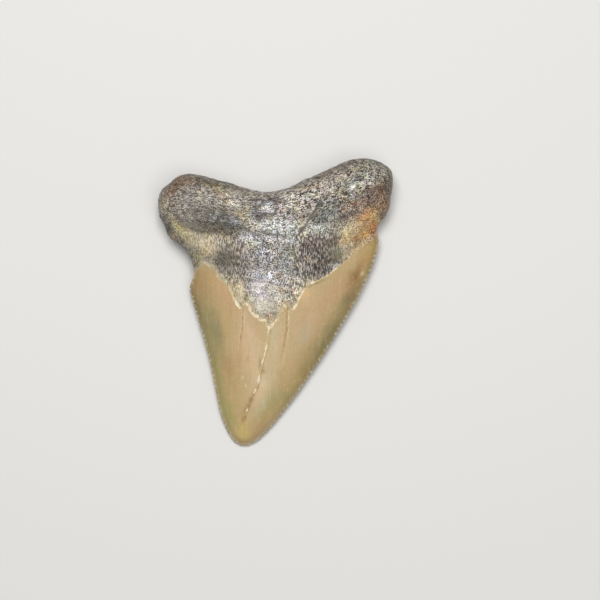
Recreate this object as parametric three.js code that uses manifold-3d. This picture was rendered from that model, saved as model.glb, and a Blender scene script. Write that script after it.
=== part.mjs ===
// A fossil megalodon tooth lying on its outer (labial) face, with the inner (lingual) face up.
// Millimetres. +Z comes out of the lingual face, +Y runs from the crown's tip to the root, and
// the origin is under the middle of the tooth, on the surface that it lies on.
//
// The tooth is one piece: a body of root and dentine, with the thin enamel cap of the crown
// fused to it along a jagged margin, and fine serrations nicked into both cutting edges.

import * as THREE from "three";
import { mergeVertices } from "three/addons/utils/BufferGeometryUtils.js";
import Module from "manifold-3d";

// Driving dimensions

const ENAMEL_THICKNESS = 0.3;
const SERRATION_PITCH = 0.83;
const SERRATION_DEPTH = 0.21;
const NICK_RADIUS = 0.5;
const WORN_TIP = 3.0; // the tip has lost its serrations this far up each edge

// The crown's thickness grows with its local width, and most of it bulges on the lingual side.
const CROWN_THICKNESS = 6.0; // where the crown is CROWN_WIDTH wide
const CROWN_WIDTH = 29;
const CROWN_TAPER = 0.72; // thickness goes as width to this power
const LINGUAL_SHARE = 0.7;
const BLADE_THINNING = 1.12; // above 1, the cutting edges are hollow ground
const CROWN_FLOOR = 0.42; // the crown's labial face, above the surface it lies on

const ROOT_RIM_HEIGHT = 3.7;
const ROOT_TOP = 5.9;
const ROOT_FLOOR = 0.75; // the root's labial face, away from the places it rests on
const LINGUAL_ROUNDING = 4.2; // how far in from the rim the root's lingual face levels out
const LABIAL_ROUNDING = 3.4;
const NECK_LENGTH = 6.5; // over which the crown's section turns into the root's
const SHOULDER_LINE = { x: -13.8, y: 2.6, slope: 0.25 }; // joins the crown's two shoulders

// The silhouette, clockwise from the middle of the root's notch. Only the crown's two cutting
// edges are serrated.
const NOTCH_TO_RIGHT_LOBE = [
  [-1.8, 17.6], [1.5, 18.2], [4.4, 19.5], [7.3, 20.7], [10.2, 22.0], [12.2, 22.8],
];
const RIGHT_LOBE = [
  [14.5, 23.0], [16.9, 22.3], [18.3, 21.1], [18.65, 19.3], [18.4, 17.0], [18.2, 15.4],
  [17.5, 13.8], [16.6, 12.6], [16.2, 11.5],
];
const RIGHT_CUTTING_EDGE = [
  [16.4, 10.5], [16.45, 9.3], [15.6, 6.2], [13.4, 1.3], [10.5, -3.8], [6.4, -10.3],
  [1.95, -16.6], [-1.7, -21.0], [-3.4, -22.4],
];
const TIP = [[-5.1, -23.0]];
const LEFT_CUTTING_EDGE = [
  [-6.6, -22.4], [-7.7, -20.9], [-8.85, -18.2], [-9.85, -13.5], [-10.8, -9.0], [-12.4, -3.2],
  [-13.6, 0.9], [-13.85, 2.3],
];
const LEFT_LOBE = [
  [-13.4, 3.8], [-13.2, 5.1], [-13.5, 6.7], [-14.4, 8.3], [-15.7, 9.6], [-17.0, 10.6],
  [-17.8, 12.2], [-18.6, 13.9], [-18.7, 16.3], [-18.3, 17.8], [-16.9, 19.1], [-15.3, 20.2],
];
const LEFT_LOBE_TO_NOTCH = [[-13.5, 20.5], [-11.0, 20.0], [-8.1, 19.3], [-4.9, 18.3]];

// Where the enamel stops on each face, from the left shoulder to the right one. The two ends
// lie outside the silhouette, so that each margin runs right across it.
const LINGUAL_MARGIN = [
  [-14.6, 3.9], [-12.6, 5.2], [-11.4, 6.0], [-10.3, 5.4], [-9.1, 3.9], [-7.6, 2.5], [-6.7, 1.6],
  [-6.6, 0.3], [-5.9, -1.0], [-5.2, -1.2], [-4.8, -0.2], [-4.2, -1.6], [-3.1, -2.7], [-1.7, -3.1],
  [-1.2, -4.2], [-0.4, -3.2], [0.9, -2.3], [1.9, -1.2], [2.6, -0.7], [3.6, 0.6], [4.3, 2.1],
  [5.7, 3.3], [7.4, 4.0], [8.8, 4.8], [11.0, 6.6], [13.9, 8.9], [15.5, 10.1], [17.2, 10.9],
];
const LABIAL_MARGIN = [
  [-14.6, 3.9], [-11.5, 6.6], [-8.0, 6.4], [-5.0, 5.6], [-2.4, 5.0], [0.4, 5.3], [3.6, 6.6],
  [7.2, 8.4], [11.0, 10.0], [14.2, 11.0], [17.2, 10.9],
];
const MARGIN_SPLIT = 2.3; // the height of the rim at the shoulders, where the margins meet

// Cracks that part the lingual enamel down to the dentine, from the margin towards the tip.
const CRACKS = [
  {
    width: 0.6,
    path: [
      [-1.1, -3.6], [-1.3, -7.0], [-1.8, -8.6], [-2.4, -10.6], [-2.9, -12.9], [-3.5, -14.8],
      [-4.3, -16.7], [-5.3, -19.0],
    ],
  },
  { width: 0.35, path: [[-5.1, -0.7], [-5.4, -3.4], [-5.8, -6.0], [-6.1, -8.2]] },
  { width: 0.35, path: [[1.9, -0.8], [2.1, -2.8], [1.6, -5.4], [1.1, -7.3], [0.8, -10.2]] },
];

// Small chips out of the right cutting edge.
const CHIPS = [
  { x: 15.15, y: 4.5, radius: 0.6 },
  { x: 13.8, y: 1.0, radius: 0.55 },
];

// The root's two lobes are one thick roll, which drops to the neck along this line.
const ROLL_DROP = 1.5;
const ROLL_DROP_WIDTH = 2.6;
const ROLL_LINE = [
  [-18.7, 12.6], [-15.2, 12.7], [-12.0, 11.9], [-4.8, 11.3], [-2.2, 10.4], [0.8, 10.4],
  [3.8, 11.2], [5.4, 12.4], [8.6, 14.6], [11.8, 16.4], [15.0, 17.6], [18.7, 18.2],
];

// Swellings and hollows of the lingual face: centre, half length, half width, the long axis's
// angle in degrees and the height, which is negative for a hollow.
const LUMPS = [
  { x: -13.0, y: 16.0, along: 5.5, across: 2.6, angle: -14, height: 0.5 }, // left lobe's back
  { x: 11.6, y: 19.4, along: 5.5, across: 2.2, angle: 26, height: 0.5 }, // right lobe's back
  { x: -1.2, y: 12.8, along: 5.4, across: 3.8, angle: 0, height: 1.0 }, // root's central boss
  { x: -1.3, y: 4.0, along: 5.8, across: 3.6, angle: 90, height: 1.3 }, // ridge down to the V
  { x: -2.3, y: 14.6, along: 1.6, across: 1.2, angle: 0, height: 0.3 }, // knob on the boss
  { x: 5.6, y: 14.2, along: 3.0, across: 1.0, angle: 58, height: -0.7 }, // furrow beside it
  { x: 14.6, y: 13.4, along: 3.4, across: 2.4, angle: 60, height: 0.5 }, // cheek by the notch
  { x: -14.6, y: 10.6, along: 2.6, across: 1.4, angle: -45, height: 0.4 }, // left lobe's heel
];

// The root's worn, gently lumpy skin is two crossing ripples, each bent by a slower wave.
const WEATHERING = { height: 0.16, lengthX: 4.6, lengthY: 4.1, bend: 1.3, slowLength: 7.7 };

// Swellings of the labial face, worn flat where they touch the surface that the tooth lies on.
// The two lobes and the crown's belly each have one, and depth is the height before wear.
const RESTS = [
  { x: -13.6, y: 15.3, radius: 4.6, depth: 1.1 },
  { x: 13.2, y: 18.0, radius: 4.8, depth: 1.1 },
  { x: -3.4, y: -7.5, radius: 7.5, depth: 0.62 },
];

// Mesh density

const AROUND = 110;
const RINGS_PER_FACE = 14;
const RING_CROWDING = 1.35; // above 1, rings crowd towards the rim
const CENTRE = new THREE.Vector2(-1.5, 5.0);
const RIM_STEPS = 400; // along the silhouette and each cutting edge, to measure distances from
const EDGE_STEPS = 80;
const SHOULDER_SHARE = 0.9; // of a cutting edge, past which it curves in to its shoulder
const BEYOND = 40; // past the tooth, for the blocks that part it

const wasm = await Module();
wasm.setup();

// Silhouette and distances

const curveThrough = (points, closed) => {
  const places = points.map(([x, y]) => new THREE.Vector3(x, y, 0));
  return new THREE.CatmullRomCurve3(places, closed, "centripetal");
};

const silhouette = curveThrough(
  [
    ...NOTCH_TO_RIGHT_LOBE,
    ...RIGHT_LOBE,
    ...RIGHT_CUTTING_EDGE,
    ...TIP,
    ...LEFT_CUTTING_EDGE,
    ...LEFT_LOBE,
    ...LEFT_LOBE_TO_NOTCH,
  ],
  true,
);
const leftEdge = curveThrough([...TIP, ...LEFT_CUTTING_EDGE], false);
const rightEdge = curveThrough([...RIGHT_CUTTING_EDGE, ...TIP], false);

// The nearest distance from a point to a chain of points.
function distanceTo(chain, x, y) {
  let nearest = Infinity;
  for (let i = 1; i < chain.length; i++) {
    const a = chain[i - 1];
    const b = chain[i];
    const dx = b.x - a.x;
    const dy = b.y - a.y;
    const along = ((x - a.x) * dx + (y - a.y) * dy) / (dx * dx + dy * dy);
    const t = THREE.MathUtils.clamp(along, 0, 1);
    nearest = Math.min(nearest, Math.hypot(x - a.x - t * dx, y - a.y - t * dy));
  }
  return nearest;
}

// A cutting edge from the tip up, carried on in a straight line past its shoulder.
function carriedOn(fromTip) {
  const shoulder = Math.round(EDGE_STEPS * SHOULDER_SHARE);
  const direction = fromTip[shoulder].clone().sub(fromTip[EDGE_STEPS / 2]).normalize();
  const end = fromTip[shoulder].clone().addScaledVector(direction, BEYOND);
  return [...fromTip.slice(0, shoulder + 1), end];
}

const rim = silhouette.getSpacedPoints(RIM_STEPS);
const leftChain = carriedOn(leftEdge.getSpacedPoints(EDGE_STEPS));
const rightChain = carriedOn(rightEdge.getSpacedPoints(EDGE_STEPS).reverse());

// The form of the tooth

const mix = THREE.MathUtils.lerp;
const smoothstep = THREE.MathUtils.smoothstep;
const quarterRound = (u) => (u >= 1 ? 1 : Math.sqrt(1 - (1 - u) ** 2));

// 0 on the crown and 1 on the root.
function rootness(x, y) {
  const above = y - SHOULDER_LINE.y - (x - SHOULDER_LINE.x) * SHOULDER_LINE.slope;
  return smoothstep(above, 0, NECK_LENGTH);
}

// The height of a line at x, straight from each of its points to the next.
function lineHeight(points, x) {
  const next = points.findIndex(([px]) => px > x);
  if (next === -1) return points.at(-1)[1];
  if (next === 0) return points[0][1];
  const [ax, ay] = points[next - 1];
  const [bx, by] = points[next];
  return mix(ay, by, (x - ax) / (bx - ax));
}

function rollHeight(x, y) {
  const above = y - lineHeight(ROLL_LINE, x);
  return ROLL_DROP * smoothstep(above, -ROLL_DROP_WIDTH / 2, ROLL_DROP_WIDTH / 2);
}

function lumpHeight(x, y) {
  return LUMPS.reduce((sum, lump) => {
    const angle = THREE.MathUtils.degToRad(lump.angle);
    const dx = x - lump.x;
    const dy = y - lump.y;
    const u = (dx * Math.cos(angle) + dy * Math.sin(angle)) / lump.along;
    const v = (-dx * Math.sin(angle) + dy * Math.cos(angle)) / lump.across;
    return sum + lump.height * Math.exp(-u * u - v * v);
  }, 0);
}

function weathering(x, y) {
  const { height, lengthX, lengthY, bend, slowLength } = WEATHERING;
  const turn = 2 * Math.PI;
  const acrossX = Math.sin((turn * x) / lengthX + bend * Math.sin((turn * y) / slowLength));
  const acrossY = Math.sin((turn * y) / lengthY + bend * Math.sin((turn * x) / slowLength));
  return height * acrossX * acrossY;
}

function restDepth(x, y) {
  return RESTS.reduce((sum, rest) => {
    const away = Math.hypot(x - rest.x, y - rest.y) / rest.radius;
    return sum + rest.depth * Math.exp(-away * away);
  }, 0);
}

// Heights of the rim, the lingual face and the labial face over a point of the silhouette.
function heights(x, y) {
  const toLeft = distanceTo(leftChain, x, y);
  const toRight = distanceTo(rightChain, x, y);
  const width = toLeft + toRight;
  const toRim = distanceTo(rim, x, y);
  const root = rootness(x, y);

  const thickness = CROWN_THICKNESS * (Math.min(width, CROWN_WIDTH) / CROWN_WIDTH) ** CROWN_TAPER;
  const lens = ((4 * toLeft * toRight) / width ** 2) ** BLADE_THINNING;
  const crownRim = CROWN_FLOOR + (1 - LINGUAL_SHARE) * thickness;
  const crownTop = crownRim + LINGUAL_SHARE * thickness * lens;
  const crownBottom = crownRim - (1 - LINGUAL_SHARE) * thickness * lens;

  const upper = quarterRound(toRim / LINGUAL_ROUNDING);
  const lower = quarterRound(toRim / LABIAL_ROUNDING);
  const rootTop = mix(ROOT_RIM_HEIGHT, ROOT_TOP + rollHeight(x, y), upper);
  const rootBottom = mix(ROOT_RIM_HEIGHT, ROOT_FLOOR, lower);
  const worn = root * weathering(x, y);

  return {
    rim: mix(crownRim, ROOT_RIM_HEIGHT, root),
    top: mix(crownTop, rootTop, root) + lumpHeight(x, y) * mix(lens, upper, root) + worn * upper,
    bottom: mix(crownBottom, rootBottom, root) - restDepth(x, y) * mix(lens, lower, root),
  };
}

// Solids

function solidOf(geometry) {
  geometry.deleteAttribute("normal");
  geometry.deleteAttribute("uv");
  const merged = mergeVertices(geometry);
  return new wasm.Manifold(
    new wasm.Mesh({
      numProp: 3,
      vertProperties: merged.attributes.position.array,
      triVerts: new Uint32Array(merged.index.array),
    }),
  );
}

// A sphere whose equator is drawn out to the silhouette, and whose two halves become the
// lingual and the labial face. inset draws the crown's rim and its labial face in, and proud
// lifts both faces all over.
function blank(inset, proud) {
  const sphere = new THREE.SphereGeometry(1, AROUND, 2 * RINGS_PER_FACE);
  const { position, uv } = sphere.attributes;
  for (let i = 0; i < position.count; i++) {
    const onRim = silhouette.getPointAt((1 - (uv.getX(i) % 1)) % 1);
    const latitude = 2 * uv.getY(i) - 1;
    const onEquator = Math.abs(latitude) < 1e-6;
    const inward = onEquator ? 0 : Math.abs(latitude) ** RING_CROWDING;
    const reach = Math.hypot(onRim.x - CENTRE.x, onRim.y - CENTRE.y);
    const drawnIn = (inset * (1 - rootness(onRim.x, onRim.y))) / reach;
    const share = (1 - inward) * (1 - drawnIn);
    const x = mix(CENTRE.x, onRim.x, share);
    const y = mix(CENTRE.y, onRim.y, share);
    const { rim: edge, top, bottom } = heights(x, y);
    const floor = inset * (1 - rootness(x, y));
    const face = latitude > 0 ? top + proud : Math.max(floor, bottom - proud);
    position.setXYZ(i, x, y, onEquator ? edge : face);
  }
  return solidOf(sphere);
}

function uprightBlock(shape, low, high) {
  const block = new THREE.ExtrudeGeometry(shape, { depth: high - low, bevelEnabled: false });
  return solidOf(block.translate(0, 0, low));
}

const shapeThrough = (points) => new THREE.Shape(points.map(([x, y]) => new THREE.Vector2(x, y)));

// All of the crown's side of a margin, up to a height.
function crownSideOf(margin, high) {
  const corners = [[BEYOND, margin.at(-1)[1]], [BEYOND, -BEYOND], [-BEYOND, -BEYOND]];
  const shape = shapeThrough([...margin, ...corners, [-BEYOND, margin[0][1]]]);
  return uprightBlock(shape, -BEYOND, high);
}

// A slit that is widest at its start and closes to a point at its end.
function slitAlong({ width, path }) {
  const last = path.length - 1;
  const side = (sign) =>
    path.map(([x, y], i) => [x + (sign * width * (1 - i / last)) / 2, y]).slice(0, last);
  return uprightBlock(shapeThrough([...side(1), path[last], ...side(-1).reverse()]), 0, BEYOND);
}

// Three-sided nicks, one between each serration and the next, along a cutting edge that has
// the tooth on its right.
function nicksAlong(edge) {
  const tip = new THREE.Vector3(...TIP[0], 0);
  const length = edge.getLength();
  const count = Math.floor(length / SERRATION_PITCH) - 1;
  const shares = Array.from({ length: count }, (_, i) => ((i + 1) * SERRATION_PITCH) / length);
  const sharp = shares.filter((share) => edge.getPointAt(share).distanceTo(tip) > WORN_TIP);
  return sharp.map((share) => {
    const point = edge.getPointAt(share);
    const tangent = edge.getTangentAt(share);
    const outward = new THREE.Vector3(-tangent.y, tangent.x, 0);
    const nick = new THREE.CylinderGeometry(NICK_RADIUS, NICK_RADIUS, BEYOND, 3);
    nick.rotateX(Math.PI / 2);
    nick.rotateZ(Math.atan2(outward.y, outward.x) - Math.PI / 2);
    const centre = point.addScaledVector(outward, NICK_RADIUS - SERRATION_DEPTH);
    return solidOf(nick.translate(centre.x, centre.y, 0));
  });
}

function chipAt({ x, y, radius }) {
  const chip = new THREE.IcosahedronGeometry(radius, 1);
  return solidOf(chip.translate(x, y, heights(x, y).rim));
}

// The tooth

const body = blank(ENAMEL_THICKNESS, 0);
const cap = blank(0, ENAMEL_THICKNESS);
const enamelSpace = crownSideOf(LINGUAL_MARGIN, BEYOND)
  .subtract(wasm.Manifold.union(CRACKS.map(slitAlong)))
  .add(crownSideOf(LABIAL_MARGIN, MARGIN_SPLIT));
const nicks = [...nicksAlong(leftEdge), ...nicksAlong(rightEdge), ...CHIPS.map(chipAt)];
const tooth = body.add(cap.intersect(enamelSpace)).subtract(wasm.Manifold.union(nicks));

const { vertProperties, triVerts } = tooth.getMesh();
const geometry = new THREE.BufferGeometry();
geometry.setAttribute("position", new THREE.BufferAttribute(vertProperties, 3));
geometry.setIndex(new THREE.BufferAttribute(triVerts, 1));
geometry.computeVertexNormals();
geometry.computeBoundingBox();
const { min, max } = geometry.boundingBox;
geometry.translate(-(min.x + max.x) / 2, -(min.y + max.y) / 2, -min.z);

const fossil = new THREE.MeshStandardMaterial({ color: 0xb59e72, roughness: 0.45, metalness: 0 });
const mesh = new THREE.Mesh(geometry, fossil);
mesh.name = "tooth";

const group = new THREE.Group();
group.add(mesh);

export default group;
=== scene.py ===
# A fossil megalodon tooth on a pale floor, lying on its outer (labial) face, seen from above.
# Metres. +Z comes out of the inner (lingual) face, +Y runs from the crown's tip to the root.

import math

import bmesh
import bpy
import numpy as np
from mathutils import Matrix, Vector, noise


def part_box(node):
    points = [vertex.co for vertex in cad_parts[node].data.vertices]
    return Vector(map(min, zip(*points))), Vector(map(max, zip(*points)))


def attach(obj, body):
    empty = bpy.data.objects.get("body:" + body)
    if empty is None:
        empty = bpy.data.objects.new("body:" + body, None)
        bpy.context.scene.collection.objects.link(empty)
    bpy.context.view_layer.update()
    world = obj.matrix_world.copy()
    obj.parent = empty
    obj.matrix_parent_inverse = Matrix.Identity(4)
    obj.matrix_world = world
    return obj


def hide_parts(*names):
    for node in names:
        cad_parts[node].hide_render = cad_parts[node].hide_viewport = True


bl_info = {
    "name": "Fossil megalodon tooth",
    "version": (1, 0, 0),
    "blender": (4, 5, 0),
    "location": "3D View > Sidebar > Fossil tooth",
    "description": "Models a fossil megalodon tooth and the plain stage that it lies on",
    "category": "Add Mesh",
}

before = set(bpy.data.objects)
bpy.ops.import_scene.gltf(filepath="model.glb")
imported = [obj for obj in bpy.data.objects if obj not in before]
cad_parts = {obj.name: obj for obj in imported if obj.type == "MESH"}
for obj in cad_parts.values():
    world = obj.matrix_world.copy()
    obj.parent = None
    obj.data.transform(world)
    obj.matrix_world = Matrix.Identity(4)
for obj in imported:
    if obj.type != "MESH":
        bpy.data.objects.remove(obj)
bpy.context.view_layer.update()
LOWEST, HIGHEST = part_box("tooth")

MM = 0.001


def in_metres(points):
    """Places that were written in millimetres."""
    return np.array(points, float) * MM


def srgb(red, green, blue):
    """A colour as seen on a screen, 0 to 255, turned into Blender's linear values."""
    shares = [channel / 255 for channel in (red, green, blue)]
    return tuple(s / 12.92 if s <= 0.04045 else ((s + 0.055) / 1.055) ** 2.4 for s in shares)


def even(number):
    """The same number for x, y and z."""
    return (number,) * 3


# The silhouette, clockwise from the middle of the root's notch, round the middle of its box

NOTCH_TO_RIGHT_LOBE = [
    (-1.8, 17.6), (1.5, 18.2), (4.4, 19.5), (7.3, 20.7), (10.2, 22.0), (12.2, 22.8),
]
RIGHT_LOBE = [
    (14.5, 23.0), (16.9, 22.3), (18.3, 21.1), (18.65, 19.3), (18.4, 17.0), (18.2, 15.4),
    (17.5, 13.8), (16.6, 12.6), (16.2, 11.5),
]
RIGHT_CUTTING_EDGE = [
    (16.4, 10.5), (16.45, 9.3), (15.6, 6.2), (13.4, 1.3), (10.5, -3.8), (6.4, -10.3),
    (1.95, -16.6), (-1.7, -21.0), (-3.4, -22.4),
]
TIP = [(-5.1, -23.0)]
LEFT_CUTTING_EDGE = [
    (-6.6, -22.4), (-7.7, -20.9), (-8.85, -18.2), (-9.85, -13.5), (-10.8, -9.0), (-12.4, -3.2),
    (-13.6, 0.9), (-13.85, 2.3),
]
LEFT_LOBE = [
    (-13.4, 3.8), (-13.2, 5.1), (-13.5, 6.7), (-14.4, 8.3), (-15.7, 9.6), (-17.0, 10.6),
    (-17.8, 12.2), (-18.6, 13.9), (-18.7, 16.3), (-18.3, 17.8), (-16.9, 19.1), (-15.3, 20.2),
]
LEFT_LOBE_TO_NOTCH = [(-13.5, 20.5), (-11.0, 20.0), (-8.1, 19.3), (-4.9, 18.3)]
SILHOUETTE = in_metres(
    NOTCH_TO_RIGHT_LOBE
    + RIGHT_LOBE
    + RIGHT_CUTTING_EDGE
    + TIP
    + LEFT_CUTTING_EDGE
    + LEFT_LOBE
    + LEFT_LOBE_TO_NOTCH
)
BEFORE_EDGES = len(NOTCH_TO_RIGHT_LOBE) + len(RIGHT_LOBE)
TIP_NUMBER = BEFORE_EDGES + len(RIGHT_CUTTING_EDGE)
LAST_EDGE_NUMBER = TIP_NUMBER + len(LEFT_CUTTING_EDGE)

# Where the enamel stops on each face, from the left shoulder to the right one

LINGUAL_MARGIN = in_metres([
    (-14.6, 3.9), (-12.6, 5.2), (-11.4, 6.0), (-10.3, 5.4), (-9.1, 3.9), (-7.6, 2.5), (-7.0, 1.7),
    (-6.6, 0.5), (-6.1, -0.3), (-5.6, -0.9), (-5.2, -0.5), (-4.6, -0.1), (-4.2, -0.6), (-3.9, -1.4),
    (-3.2, -2.1), (-2.2, -2.7), (-1.5, -3.0), (-1.15, -4.2), (-0.5, -3.4), (0.3, -2.6), (0.9, -1.5),
    (1.3, -0.4), (1.9, -0.9), (2.4, -1.2), (3.0, -0.8), (3.5, 0.3), (4.1, 1.5), (4.8, 2.5),
    (5.8, 3.3), (7.4, 4.0), (8.8, 4.8), (11.0, 6.6), (13.9, 8.9), (15.5, 10.1), (17.2, 10.9),
])
LABIAL_MARGIN = in_metres([
    (-14.6, 3.9), (-11.5, 6.6), (-8.0, 6.4), (-5.0, 5.6), (-2.4, 5.0), (0.4, 5.3), (3.6, 6.6),
    (7.2, 8.4), (11.0, 10.0), (14.2, 11.0), (17.2, 10.9),
])

# Cracks in the lingual enamel, from the margin towards the tip

MAIN_CRACK = in_metres([
    (-1.1, -4.0), (-1.25, -5.7), (-1.45, -7.0), (-1.8, -8.3), (-2.15, -9.5), (-2.35, -10.6),
    (-2.7, -12.2), (-2.95, -13.3), (-3.4, -14.3), (-4.05, -15.7), (-4.55, -17.0), (-5.1, -18.4),
    (-5.6, -19.5),
])
LEFT_CRACK = in_metres([(-5.2, -0.4), (-5.3, -3.4), (-5.7, -6.0), (-6.0, -8.6)])
RIGHT_CRACK = in_metres([(1.9, -0.8), (1.8, -4.2), (1.4, -6.8), (1.0, -8.6), (0.9, -10.2)])

# The lower side of the roll that the root's two lobes make, and the line along its back

ROLL_LINE = in_metres([
    (-18.7, 12.6), (-15.2, 12.7), (-12.0, 11.9), (-4.8, 11.3), (-2.2, 10.4), (0.8, 10.4),
    (3.8, 11.2), (5.4, 12.4), (8.6, 14.6), (11.8, 16.4), (15.0, 17.6), (18.7, 18.2),
])
ROLL_BACK = in_metres([
    (-20.5, 16.2), (-14.0, 16.0), (-8.0, 14.9), (-2.4, 14.3), (2.6, 15.2), (7.6, 17.4),
    (13.0, 19.8), (20.5, 22.6),
])

# The tooth's section, as in the solid

CROWN_THICKNESS = 6.0 * MM
CROWN_WIDTH = 29 * MM
CROWN_TAPER = 0.72
LINGUAL_SHARE = 0.7
BLADE_THINNING = 1.12
CROWN_FLOOR = 0.42 * MM
ROOT_RIM_HEIGHT = 3.7 * MM
ROOT_TOP = 5.9 * MM
ROOT_FLOOR = 0.75 * MM
LINGUAL_ROUNDING = 4.2 * MM
LABIAL_ROUNDING = 3.4 * MM
NECK_LENGTH = 6.5 * MM
SHOULDER_LINE = (-13.8 * MM, 2.6 * MM, 0.25)
ROLL_DROP = 1.5 * MM
ROLL_DROP_WIDTH = 2.6 * MM

# Swellings and hollows of the lingual face: x, y, half length, half width, angle in degrees
# and height, which is negative for a hollow

LUMPS = [
    (-13.0, 16.0, 5.5, 2.6, -14, 0.5),  # left lobe's back
    (11.6, 19.4, 5.5, 2.2, 26, 0.5),  # right lobe's back
    (-1.2, 12.8, 5.4, 3.8, 0, 1.0),  # root's central boss
    (-1.3, 4.0, 5.8, 3.6, 90, 1.3),  # ridge down to the V
    (-2.3, 14.6, 1.6, 1.2, 0, 0.3),  # knob on the boss
    (5.6, 14.2, 3.0, 1.0, 58, -0.7),  # furrow beside the boss
    (14.6, 13.4, 3.4, 2.4, 60, 0.5),  # cheek by the right notch
    (-14.6, 10.6, 2.6, 1.4, -45, 0.4),  # left lobe's heel
]

# Swellings of the labial face, worn flat where the tooth rests on them: x, y, radius and depth.
# The soft edge of the wear leaves them a little too high, so the face is let down by REST_SINK

REST_SOFTNESS = 0.4 * MM
REST_SINK = REST_SOFTNESS / 8
RESTS = [(-13.6, 15.3, 4.6, 1.1), (13.2, 18.0, 4.8, 1.1), (-3.4, -7.5, 7.5, 0.62)]

# Soft stains, with painted shade and painted light among them: x, y, half length, half width,
# angle in degrees, colour and strength

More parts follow.
